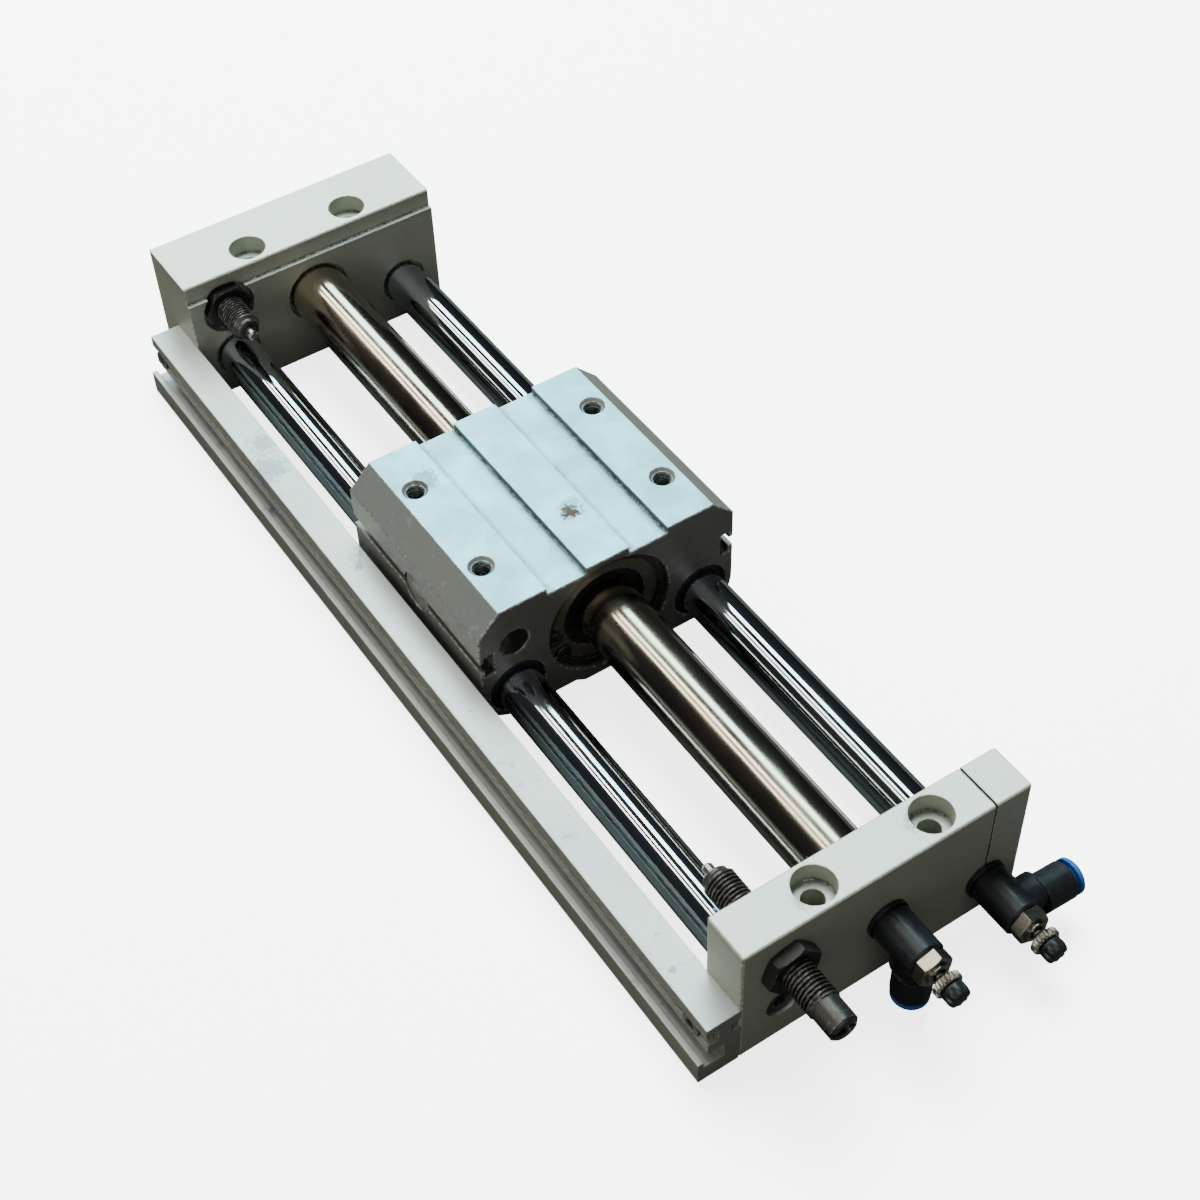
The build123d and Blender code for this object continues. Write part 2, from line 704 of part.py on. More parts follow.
with BuildPart() as switch_magnet:
    with BuildSketch(magnet_face.offset(holder_recess)):
        Circle(magnet_diameter / 2)
    extrude(amount=magnet_length)
save(switch_magnet.part, "switch_magnet")

# Stop pads that meet the shock pins
with BuildPart() as stop_pads:
    bar(block_front - pad_recess, shock_axis, pad_diameter, -pad_length)
    bar(block_back + pad_recess, shock_axis, pad_diameter, pad_length)
save(stop_pads.part, "stop_pads")

# Outer magnet stack, between the wear rings
stack_length = block_length - 2 * (stack_bore_depth + spacer_length + scraper_length + wear_ring_length)
magnet_thickness = (stack_length - (magnet_count + 1) * yoke_thickness) / magnet_count
pitch = magnet_thickness + yoke_thickness
stack_start = carriage_x - stack_length / 2
outer_ring_diameter = bore_diameter - 2 * seat
with BuildPart() as outer_yokes:
    for i in range(magnet_count + 1):
        bar(stack_start + i * pitch, tube_axis, outer_ring_diameter, yoke_thickness, bore=outer_magnet_bore)
save(outer_yokes.part, "outer_yokes")

with BuildPart() as outer_magnets:
    for i in range(magnet_count):
        x = stack_start + yoke_thickness + i * pitch
        bar(x, tube_axis, outer_ring_diameter, magnet_thickness, bore=outer_magnet_bore)
save(outer_magnets.part, "outer_magnets")

running_bore = tube_diameter + 2 * running


# Two equal rings, one at each end of the bore, at a depth from the block's end faces
def end_rings(depth, length, outer, inner):
    bar(block_back + depth, tube_axis, outer, length, bore=inner)
    bar(block_front - depth, tube_axis, outer, -length, bore=inner)


with BuildPart() as carriage_spacers:
    end_rings(stack_bore_depth, spacer_length, outer_ring_diameter, spacer_bore)
save(carriage_spacers.part, "carriage_spacers")

with BuildPart() as tube_scrapers:
    end_rings(stack_bore_depth + spacer_length, scraper_length, outer_ring_diameter, running_bore)
save(tube_scrapers.part, "tube_scrapers")

with BuildPart() as outer_wear_rings:
    depth = stack_bore_depth + spacer_length + scraper_length
    end_rings(depth, wear_ring_length, outer_ring_diameter, running_bore)
save(outer_wear_rings.part, "outer_wear_rings")

# Snap rings: open rings with a holed lug at each side of the gap
snap_outer = snap_diameter / 2 - seat
snap_inner = bore_diameter / 2 - snap_width
snap_gap_angle = 200.0
snap_lug_angle = 13.0
snap_lug = 2.3
snap_lug_hole = 1.3
lug_radius = bore_diameter / 2 - snap_lug
lug_start = snap_gap_angle - snap_lug_angle
with BuildPart() as snap_rings:
    for x in (block_front - snap_recess - snap_thickness, block_back + snap_recess):
        with BuildSketch(station(x, tube_axis)):
            Circle(snap_outer)
            Circle(snap_inner, mode=Mode.SUBTRACT)
            with PolarLocations(lug_radius, 1, start_angle=snap_gap_angle):
                Rectangle(3 * snap_lug, 2 * snap_lug, mode=Mode.SUBTRACT)
            with PolarLocations(lug_radius, 2, start_angle=lug_start, angular_range=4 * snap_lug_angle):
                Circle(snap_lug)
            with PolarLocations(lug_radius, 2, start_angle=lug_start, angular_range=4 * snap_lug_angle):
                Circle(snap_lug_hole / 2, mode=Mode.SUBTRACT)
        extrude(amount=snap_thickness)
save(snap_rings.part, "snap_rings")


# Guide bushes and scrapers on each rod
def make_bushes(name, axis):
    with BuildPart() as bushes:
        depth = rod_scraper_recess + rod_scraper_length
        bore = rod_diameter + 2 * running
        bar(block_back + depth, axis, bush_diameter, bush_length, bore=bore)
        bar(block_front - depth, axis, bush_diameter, -bush_length, bore=bore)
        chamfer(bushes.edges(), bush_edge)
    save(bushes.part, name)


make_bushes("left_guide_bushes", left_axis)
make_bushes("right_guide_bushes", right_axis)

with BuildPart() as rod_scrapers:
    for axis in (left_axis, right_axis):
        bore = rod_diameter + 2 * running
        bar(block_back + rod_scraper_recess, axis, bush_diameter, rod_scraper_length, bore=bore)
        bar(block_front - rod_scraper_recess, axis, bush_diameter, -rod_scraper_length, bore=bore)
save(rod_scrapers.part, "rod_scrapers")

# Piston inside the tube, on one shaft, in line with the outer magnets
inner_bore = shaft_diameter + 2 * seat
with BuildPart() as inner_yokes:
    for i in range(magnet_count + 1):
        bar(stack_start + i * pitch, tube_axis, inner_magnet_diameter, yoke_thickness, bore=inner_bore)
save(inner_yokes.part, "inner_yokes")

with BuildPart() as inner_magnets:
    for i in range(magnet_count):
        x = stack_start + yoke_thickness + i * pitch
        bar(x, tube_axis, inner_magnet_diameter, magnet_thickness, bore=inner_bore)
save(inner_magnets.part, "inner_magnets")

stack_end = stack_start + stack_length
seal_diameter = piston_bore - 2 * running
seal_groove = piston_diameter - 2 * piston_seal_section
with BuildPart() as pistons:
    for plane in (
        Plane(origin=(stack_end, 0, tube_height), x_dir=(1, 0, 0), z_dir=(0, -1, 0)),
        Plane(origin=(stack_start, 0, tube_height), x_dir=(-1, 0, 0), z_dir=(0, 1, 0)),
    ):
        turned(plane, [
            (0, inner_bore / 2),
            (0, piston_diameter / 2),
            (piston_length / 2 - piston_seal_length / 2, piston_diameter / 2),
            (piston_length / 2 - piston_seal_length / 2, seal_groove / 2),
            (piston_length / 2 + piston_seal_length / 2, seal_groove / 2),
            (piston_length / 2 + piston_seal_length / 2, piston_diameter / 2),
            (piston_length, piston_diameter / 2),
            (piston_length, inner_bore / 2),
        ])
save(pistons.part, "pistons")

with BuildPart() as piston_seals:
    for x in (stack_end + piston_length / 2, stack_start - piston_length / 2):
        start = x - piston_seal_length / 2 + seat
        bar(start, tube_axis, seal_diameter, piston_seal_length - 2 * seat, bore=seal_groove + 2 * seat)
save(piston_seals.part, "piston_seals")

with BuildPart() as bumpers:
    bar(stack_end + piston_length, tube_axis, bumper_diameter, bumper_length, bore=inner_bore)
    bar(stack_start - piston_length, tube_axis, bumper_diameter, -bumper_length, bore=inner_bore)
save(bumpers.part, "piston_bumpers")

with BuildPart() as piston_nuts:
    nut_offset = piston_length + bumper_length
    hex_bar(stack_end + nut_offset, tube_axis, piston_nut_flats, piston_nut_length, bore=inner_bore)
    hex_bar(stack_start - nut_offset, tube_axis, piston_nut_flats, -piston_nut_length, bore=inner_bore)
    cut_corners(stack_end + nut_offset + piston_nut_length, tube_axis, piston_nut_flats, 1)
    cut_corners(stack_start - nut_offset - piston_nut_length, tube_axis, piston_nut_flats, -1)
save(piston_nuts.part, "piston_nuts")

shaft_overhang = piston_length + bumper_length + piston_nut_length
with BuildPart() as piston_shaft:
    bar(stack_start - shaft_overhang, tube_axis, shaft_diameter, stack_length + 2 * shaft_overhang)
    chamfer(piston_shaft.edges(), rod_edge)
save(piston_shaft.part, "piston_shaft")


# Speed-control fitting: a stem screwed into the port, an elbow that swivels round it with a
# push-in socket for the air tube, and a needle with its knob and lock nut
def make_fitting(prefix, axis, branch_angle, hex_turn):
    x0 = port_outer
    along = Plane(origin=(x0, axis[0], axis[1]), x_dir=(1, 0, 0), z_dir=(0, -1, 0))
    sleeve = sleeve_diameter / 2
    hex_start = elbow_end + hex_gap
    hex_end = hex_start + hex_length
    needle_bore = needle_diameter / 2 + running
    with BuildPart() as stem:
        turned(along, [
            (-port_thread_length, stem_air_bore / 2),
            (-port_thread_length, port_thread_diameter / 2),
            (washer_length, port_thread_diameter / 2),
            (washer_length, stem_flange_diameter / 2),
            (washer_length + stem_flange_length, stem_flange_diameter / 2),
            (washer_length + stem_flange_length, sleeve),
            (hex_start, sleeve),
            (hex_start, needle_bore + rest_gap),
            (needle_start - rest_gap, needle_bore + rest_gap),
            (needle_start - rest_gap, stem_air_bore / 2),
        ])
        hex_bar(x0 + hex_start, axis, hex_flats, hex_length, hex_turn)
        cut_corners(x0 + hex_end, axis, hex_flats, 1)
        bar(x0 + hex_end, axis, boss_diameter, boss_length)
        bar(x0 + needle_start - rest_gap, axis, 2 * needle_bore, hex_end, Mode.SUBTRACT)
        cross = Plane(origin=(x0 + branch_offset, axis[0], axis[1]), x_dir=(1, 0, 0), z_dir=(0, 0, 1))
        with BuildSketch(cross):
            Circle(branch_air_bore / 2)
        extrude(amount=sleeve_diameter, both=True, mode=Mode.SUBTRACT)
    save(stem.part, prefix + "_stem")

    with BuildPart() as washer:
        bar(x0, axis, washer_diameter, washer_length, bore=port_thread_diameter + 2 * seat)
    save(washer.part, prefix + "_washer")

    turn = math.radians(branch_angle)
    out = (0.0, math.cos(turn), math.sin(turn))
    outwards = Plane(origin=(x0 + branch_offset, axis[0], axis[1]), x_dir=(1, 0, 0), z_dir=out)
    flange_room = washer_length + stem_flange_length + rest_gap
    with BuildPart() as elbow:
        turned(along, [
            (elbow_start, 0),
            (elbow_start, elbow_flange_diameter / 2),
            (elbow_flange_end, elbow_flange_diameter / 2),
            (elbow_flange_end, elbow_diameter / 2 - elbow_groove_depth),
            (elbow_groove_end, elbow_diameter / 2 - elbow_groove_depth),
            (elbow_groove_end, elbow_diameter / 2),
            (elbow_end - elbow_edge, elbow_diameter / 2),
            (elbow_end, elbow_diameter / 2 - elbow_edge),
            (elbow_end, 0),
        ])
        shoulder_length = elbow_end - branch_shoulder_start
        shoulder_shift = (branch_shoulder_start + elbow_end) / 2 - branch_offset
        with BuildSketch(outwards):
            with Locations((shoulder_shift, 0)):
                SlotOverall(shoulder_length, branch_shoulder_width)
        extrude(amount=branch_shoulder)
        with BuildSketch(outwards.offset(branch_shoulder - elbow_edge)):
            Circle(branch_diameter / 2)
        extrude(amount=branch_reach - branch_shoulder + elbow_edge)
        mouth = elbow.edges().filter_by(GeomType.CIRCLE).sort_by(Axis(outwards.origin, out))[-1]
        chamfer(mouth, elbow_edge / 2)
        with BuildSketch(outwards.offset(branch_socket_start)):
            Circle(branch_socket_diameter / 2)
        extrude(amount=branch_reach, mode=Mode.SUBTRACT)
        with BuildSketch(outwards):
            Circle(branch_air_bore / 2)
        extrude(amount=branch_reach, mode=Mode.SUBTRACT)
        bar(x0, axis, sleeve_diameter + 2 * running, elbow_end + 1, Mode.SUBTRACT)
        bar(x0, axis, stem_flange_diameter + 2 * running, flange_room, Mode.SUBTRACT)
    save(elbow.part, prefix + "_elbow")

    with BuildPart() as collet:
        with BuildSketch(outwards.offset(collet_start)):
            Circle(branch_socket_diameter / 2 - seat)
            Circle(tube_bore_diameter / 2 + seat, mode=Mode.SUBTRACT)
        extrude(amount=collet_length)
    save(collet.part, prefix + "_collet")

    with BuildPart() as release_ring:
        with BuildSketch(outwards.offset(ring_neck_end)):
            Circle(branch_socket_diameter / 2 - running)
        extrude(amount=ring_reach - ring_neck_end)
        with BuildSketch(outwards.offset(ring_reach - ring_flange_length)):
            Circle(ring_flange_diameter / 2)
        extrude(amount=ring_flange_length)
        rim = release_ring.edges().filter_by(GeomType.CIRCLE).sort_by(Axis(outwards.origin, out))[-1]
        chamfer(rim, elbow_edge / 2)
        with BuildSketch(outwards.offset(ring_neck_end)):
            Circle(tube_bore_diameter / 2)
        extrude(amount=ring_reach, mode=Mode.SUBTRACT)
    save(release_ring.part, prefix + "_release_ring")

    with BuildPart() as needle:
        turned(along, [
            (needle_start, 0),
            (needle_start, needle_tip_diameter / 2),
            (needle_start + needle_tip_diameter, needle_diameter / 2),
            (needle_neck_start, needle_diameter / 2),
            (needle_neck_start, needle_neck_diameter / 2),
            (needle_neck_end, needle_neck_diameter / 2),
            (needle_cone_end, needle_diameter / 2),
            (knob_start, needle_diameter / 2),
            (knob_start, 0),
        ])
    save(needle.part, prefix + "_needle")

    with BuildPart() as knob:
        turned(along, [
            (knob_start, 0),
            (knob_start, knob_diameter / 2),
            (knob_start + knob_length - elbow_edge, knob_diameter / 2),
            (knob_start + knob_length, knob_diameter / 2 - elbow_edge),
            (knob_start + knob_length, 0),
        ])
        with BuildSketch(station(x0 + knob_start + elbow_edge, axis)):
            with PolarLocations(knob_diameter / 2, knob_flutes):
                Circle(knob_flute_diameter / 2)
        extrude(amount=knob_length, mode=Mode.SUBTRACT)
    save(knob.part, prefix + "_knob")

    tooth = locknut_diameter * math.pi / locknut_teeth / 2
    with BuildPart() as locknut:
        bar(x0 + locknut_start, axis, locknut_diameter, locknut_length, bore=needle_diameter + 2 * running)
        with BuildSketch(station(x0 + locknut_start, axis)):
            with PolarLocations(locknut_diameter / 2, locknut_teeth):
                Rectangle(tooth, tooth, rotation=45)
        extrude(amount=locknut_length, mode=Mode.SUBTRACT)
    save(locknut.part, prefix + "_locknut")


make_fitting("tube_port", tube_axis, tube_port_tilt, tube_port_hex_turn)
make_fitting("rod_port", rod_port_axis, rod_port_tilt, rod_port_hex_turn)

print("hole pitch", hole_pitch, "carriage x", carriage_x, "port face", port_outer, "far face", far_outer)
pin_stand = shock_reach + pin_reach
print("travel", port_inner - pin_stand - block_front, block_back - far_inner - pin_stand)
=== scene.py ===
import json
import math

import bmesh
import bpy
import numpy as np
from mathutils import Matrix, Vector


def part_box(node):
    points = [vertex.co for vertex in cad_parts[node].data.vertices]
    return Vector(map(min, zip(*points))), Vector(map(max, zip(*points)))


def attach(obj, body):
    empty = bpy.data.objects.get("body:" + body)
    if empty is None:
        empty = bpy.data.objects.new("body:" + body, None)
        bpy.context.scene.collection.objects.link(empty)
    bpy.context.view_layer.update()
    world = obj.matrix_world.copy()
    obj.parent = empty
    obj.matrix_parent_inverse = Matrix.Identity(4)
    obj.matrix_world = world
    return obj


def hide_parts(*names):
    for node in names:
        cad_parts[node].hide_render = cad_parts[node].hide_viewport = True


# Magnetic rodless cylinder: finishes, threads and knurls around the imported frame

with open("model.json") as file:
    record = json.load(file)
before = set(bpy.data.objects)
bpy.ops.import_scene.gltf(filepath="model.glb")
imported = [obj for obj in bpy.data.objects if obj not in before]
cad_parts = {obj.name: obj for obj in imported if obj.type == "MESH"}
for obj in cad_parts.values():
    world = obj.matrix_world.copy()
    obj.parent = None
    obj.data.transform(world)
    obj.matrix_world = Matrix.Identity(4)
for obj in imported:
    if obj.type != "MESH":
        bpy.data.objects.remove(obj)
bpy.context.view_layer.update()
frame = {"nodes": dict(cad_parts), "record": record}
nodes = frame["nodes"]
print("frame loaded,", len(nodes), "nodes")


# Camera, floor and light

cameraSet = {
    "place": (0.30613, -0.17583, 0.39369),
    "right": (0.5543, 0.8319, -0.0271),
    "up": (-0.6108, 0.4287, 0.6657),
    "back": (0.5654, -0.3525, 0.7457),
    "lens": 61.218,
    "sensor": 36.0,
    "clipStart": 0.01,
    "clipEnd": 20.0,
}


def placeCamera(setting):
    data = bpy.data.cameras.new("camera")
    data.lens = setting["lens"]
    data.sensor_width = setting["sensor"]
    data.clip_start = setting["clipStart"]
    data.clip_end = setting["clipEnd"]
    camera = bpy.data.objects.new("camera", data)
    bpy.context.scene.collection.objects.link(camera)
    turn = Matrix((setting["right"], setting["up"], setting["back"])).transposed().to_4x4()
    camera.matrix_world = Matrix.Translation(setting["place"]) @ turn
    bpy.context.scene.camera = camera


lightSet = {
    "lamps": {
        "mintLamp": {
            "place": (-0.80, 0.38, 1.10), "size": (1.6, 0.34), "power": 16.0, "tone": (0.74, 1.0, 0.97),
            "mirrored": True,
        },
        "ivoryNear": {
            "place": (-0.80, -0.17, 1.15), "size": (1.6, 0.12), "power": 7.0, "tone": (1.0, 0.94, 0.82),
            "mirrored": True,
        },
        "ivoryFar": {
            "place": (-0.80, -0.45, 1.08), "size": (1.6, 0.12), "power": 5.0, "tone": (1.0, 0.93, 0.80),
            "mirrored": True,
        },
        "topFill": {
            "place": (-0.50, 0.30, 1.30), "size": (0.9, 0.9), "power": 66.0, "tone": (0.88, 1.0, 0.97),
            "mirrored": False,
        },
        "frontFill": {
            "place": (1.1, -0.3, 0.8), "size": (1.0, 1.0), "power": 3.8, "tone": (1.0, 0.98, 0.93),
            "mirrored": True,
        },
        "leftFill": {
            "place": (0.25, -1.2, 0.5), "size": (0.8, 0.5), "power": 5.0, "tone": (1.0, 0.95, 0.85),
            "mirrored": True,
        },
    },
    "worldTop": (0.035, 0.038, 0.040),
    "worldSide": (0.015, 0.015, 0.015),
    "worldStrength": 1.0,
    "rampLow": 0.05,
    "rampHigh": 0.9,
    "floor": (0.95, 0.95, 0.95),
    "floorMirrored": (0.035, 0.035, 0.032),
    "floorRoughness": 0.9,
    "floorGlow": (1.0, 1.0, 0.99),
    "floorReach": 6.0,
    "floorLift": 3.5,
}


# A lamp's long side stays level with X, and its back points away from the object
def addAreaLight(name, setting):
    data = bpy.data.lights.new(name, "AREA")
    data.shape = "RECTANGLE"
    data.size, data.size_y = setting["size"]
    data.energy = setting["power"]
    data.color = setting["tone"]
    lamp = bpy.data.objects.new(name, data)
    bpy.context.scene.collection.objects.link(lamp)
    lamp.visible_glossy = setting["mirrored"]
    back = Vector(setting["place"]).normalized()
    right = (Vector((1, 0, 0)) - back.x * back).normalized()
    turn = Matrix((right, back.cross(right), back)).transposed().to_4x4()
    lamp.matrix_world = Matrix.Translation(setting["place"]) @ turn


# The world lights the object with a dim ramp, and the camera alone sees a backdrop as bright as the floor
def makeWorld(setting):
    world = bpy.data.worlds.new("studio")
    world.use_nodes = True
    tree = world.node_tree
    tree.nodes.clear()
    coords = tree.nodes.new("ShaderNodeTexCoord")
    split = tree.nodes.new("ShaderNodeSeparateXYZ")
    ramp = tree.nodes.new("ShaderNodeValToRGB")
    background = tree.nodes.new("ShaderNodeBackground")
    output = tree.nodes.new("ShaderNodeOutputWorld")
    ramp.color_ramp.elements[0].position = setting["rampLow"]
    ramp.color_ramp.elements[0].color = (*setting["worldSide"], 1.0)
    ramp.color_ramp.elements[1].position = setting["rampHigh"]
    ramp.color_ramp.elements[1].color = (*setting["worldTop"], 1.0)
    background.inputs["Strength"].default_value = setting["worldStrength"]
    tree.links.new(coords.outputs["Generated"], split.inputs["Vector"])
    tree.links.new(split.outputs["Z"], ramp.inputs["Fac"])
    tree.links.new(ramp.outputs["Color"], background.inputs["Color"])
    backdrop = tree.nodes.new("ShaderNodeBackground")
    backdrop.inputs["Strength"].default_value = setting["floorLift"]
    rays = tree.nodes.new("ShaderNodeLightPath")
    either = tree.nodes.new("ShaderNodeMixShader")
    tree.links.new(rays.outputs["Is Camera Ray"], either.inputs[0])
    tree.links.new(background.outputs["Background"], either.inputs[1])
    tree.links.new(backdrop.outputs["Background"], either.inputs[2])
    tree.links.new(either.outputs["Shader"], output.inputs["Surface"])
    bpy.context.scene.world = world


# The camera sees a near white floor that glows, and every other ray meets a dark one
def makeFloor(setting):
    reach = setting["floorReach"]
    mesh = bpy.data.meshes.new("floor")
    corners = [(-reach, -reach, 0), (reach, -reach, 0), (reach, reach, 0), (-reach, reach, 0)]
    mesh.from_pydata(corners, [], [(0, 1, 2, 3)])
    floor = bpy.data.objects.new("floor", mesh)
    bpy.context.scene.collection.objects.link(floor)
    material = bpy.data.materials.new("floor")
    material.use_nodes = True
    tree = material.node_tree
    shader = tree.nodes["Principled BSDF"]
    shader.inputs["Roughness"].default_value = setting["floorRoughness"]
    rays = tree.nodes.new("ShaderNodeLightPath")
    mix = tree.nodes.new("ShaderNodeMix")
    mix.data_type = "RGBA"
    mix.inputs[6].default_value = (*setting["floorMirrored"], 1.0)
    mix.inputs[7].default_value = (*setting["floor"], 1.0)
    tree.links.new(rays.outputs["Is Camera Ray"], mix.inputs[0])
    tree.links.new(mix.outputs[2], shader.inputs["Base Color"])
    lift = tree.nodes.new("ShaderNodeMath")
    lift.operation = "MULTIPLY"
    lift.inputs[1].default_value = setting["floorLift"]
    tree.links.new(rays.outputs["Is Camera Ray"], lift.inputs[0])
    shader.inputs["Emission Color"].default_value = (*setting["floorGlow"], 1.0)
    tree.links.new(lift.outputs[0], shader.inputs["Emission Strength"])
    mesh.materials.append(material)


placeCamera(cameraSet)
makeWorld(lightSet)
makeFloor(lightSet)
for lampName, lampSetting in lightSet["lamps"].items():
    addAreaLight(lampName, lampSetting)
print("camera, floor and light set")


# Shader groups, each built once and placed in the materials with their own values

def newGroup(name, inputs, outputs):
    group = bpy.data.node_groups.new(name, "ShaderNodeTree")
    for socketName, kind, value in inputs:
        socket = group.interface.new_socket(socketName, in_out="INPUT", socket_type=kind)
        if value is not None:
            socket.default_value = value
    for socketName, kind in outputs:
        group.interface.new_socket(socketName, in_out="OUTPUT", socket_type=kind)
    return group, group.nodes.new("NodeGroupInput"), group.nodes.new("NodeGroupOutput")


def mathNode(tree, operation, first, second=None, clamp=False):
    node = tree.nodes.new("ShaderNodeMath")
    node.operation = operation
    node.use_clamp = clamp
    for socket, value in zip(node.inputs, (first, second)):
        if value is None:
            continue
        if isinstance(value, (int, float)):
            socket.default_value = value
        else:
            tree.links.new(value, socket)
    return node.outputs[0]


# A colour mix takes its factor at socket 0 and its colours at 6 and 7, and gives its result at 2
def mixNode(tree, factor, first, second, blend="MIX"):
    node = tree.nodes.new("ShaderNodeMix")
    node.data_type = "RGBA"
    node.blend_type = blend
    for socket, value in zip((node.inputs[0], node.inputs[6], node.inputs[7]), (factor, first, second)):
        if isinstance(value, (int, float)):
            socket.default_value = value
        elif isinstance(value, tuple):
            socket.default_value = (*value, 1.0)
        else:
            tree.links.new(value, socket)
    return node.outputs[2]


def rangeNode(tree, value, low, high, outLow=0.0, outHigh=1.0):
    node = tree.nodes.new("ShaderNodeMapRange")
    node.inputs["From Min"].default_value = low
    node.inputs["From Max"].default_value = high
    node.inputs["To Min"].default_value = outLow
    node.inputs["To Max"].default_value = outHigh
    tree.links.new(value, node.inputs["Value"])
    return node.outputs["Result"]


def noiseNode(tree, vector, scale, detail=3.0, roughness=0.55, distortion=0.0):
    node = tree.nodes.new("ShaderNodeTexNoise")
    node.inputs["Scale"].default_value = scale
    node.inputs["Detail"].default_value = detail
    node.inputs["Roughness"].default_value = roughness
    node.inputs["Distortion"].default_value = distortion
    tree.links.new(vector, node.inputs["Vector"])
    return node.outputs["Fac"]


def stretchNode(tree, vector, scale, turn=(0.0, 0.0, 0.0)):
    node = tree.nodes.new("ShaderNodeMapping")
    node.inputs["Scale"].default_value = scale
    node.inputs["Rotation"].default_value = turn
    tree.links.new(vector, node.inputs["Vector"])
    return node.outputs["Vector"]


# In the settings of a shader group, a noise holds scale, detail, roughness and distortion, and a range
# holds from and to, then what these two become where that isn't 0 and 1
edgeSet = {
    "samples": 4, "turnRange": (0.995, 0.90), "nicks": (900.0, 4.0, 0.6), "nickRange": (0.45, 0.62),
}


# Worn edges: where the rounded normal leaves the true one, an edge is near, and noise breaks it into nicks
def buildEdgeWear(setting):
    tree, given, made = newGroup(
        "wornEdges",
        [
            ("Vector", "NodeSocketVector", None),
            ("Width", "NodeSocketFloat", 0.0003),
            ("Amount", "NodeSocketFloat", 0.5),
        ],
        [("Mask", "NodeSocketFloat"), ("Normal", "NodeSocketVector")],
    )
    bevel = tree.nodes.new("ShaderNodeBevel")
    bevel.samples = setting["samples"]
    tree.links.new(given.outputs["Width"], bevel.inputs["Radius"])
    geometry = tree.nodes.new("ShaderNodeNewGeometry")
    dot = tree.nodes.new("ShaderNodeVectorMath")
    dot.operation = "DOT_PRODUCT"
    tree.links.new(bevel.outputs["Normal"], dot.inputs[0])
    tree.links.new(geometry.outputs["Normal"], dot.inputs[1])
    edge = rangeNode(tree, dot.outputs["Value"], *setting["turnRange"])
    nicks = noiseNode(tree, given.outputs["Vector"], *setting["nicks"])
    broken = rangeNode(tree, nicks, *setting["nickRange"])
    spread = mathNode(tree, "MULTIPLY", edge, broken)
    mask = mathNode(tree, "MULTIPLY", spread, given.outputs["Amount"], clamp=True)
    tree.links.new(mask, made.inputs["Mask"])
    tree.links.new(bevel.outputs["Normal"], made.inputs["Normal"])
    return tree


handlingSet = {
    "cloud": (45.0, 5.0, 0.6), "scratchStretch": (1.0, 0.06, 1.0), "scratchTurn": (0.0, 0.0, 0.5),
    "scratchDetail": 2.0, "scratchRange": (0.62, 0.72), "stain": (130.0, 6.0, 0.7, 0.6), "stainGain": 9.0,
}


# Handling marks: a slow cloud for tone, fine scratches drawn out one way, and small dark stains
def buildHandling(setting):
    tree, given, made = newGroup(
        "handlingMarks",
        [
            ("Vector", "NodeSocketVector", None),
            ("Stain Level", "NodeSocketFloat", 0.7),
            ("Scratch Scale", "NodeSocketFloat", 500.0),
        ],
        [("Cloud", "NodeSocketFloat"), ("Scratch", "NodeSocketFloat"), ("Stain", "NodeSocketFloat")],
    )
    vector = given.outputs["Vector"]
    tree.links.new(noiseNode(tree, vector, *setting["cloud"]), made.inputs["Cloud"])
    turned = stretchNode(tree, vector, setting["scratchStretch"], setting["scratchTurn"])
    scratch = tree.nodes.new("ShaderNodeTexNoise")
    scratch.inputs["Detail"].default_value = setting["scratchDetail"]
    tree.links.new(given.outputs["Scratch Scale"], scratch.inputs["Scale"])
    tree.links.new(turned, scratch.inputs["Vector"])
    tree.links.new(rangeNode(tree, scratch.outputs["Fac"], *setting["scratchRange"]), made.inputs["Scratch"])
    stainNoise = noiseNode(tree, vector, *setting["stain"])
    over = mathNode(tree, "SUBTRACT", stainNoise, given.outputs["Stain Level"])
    stain = mathNode(tree, "MULTIPLY", over, setting["stainGain"], clamp=True)
    tree.links.new(stain, made.inputs["Stain"])
    return tree


millingSet = {
    "fineRatio": 3.7, "fineShare": 0.5, "breakup": (110.0, 4.0, 0.6), "breakRange": (0.35, 0.65, 0.25, 1.0),
    "levelRange": (0.9, 0.98), "lineRange": (-0.1, 1.1), "shadedSideRange": (0.75, 0.93, 1.0, 0.0),
}
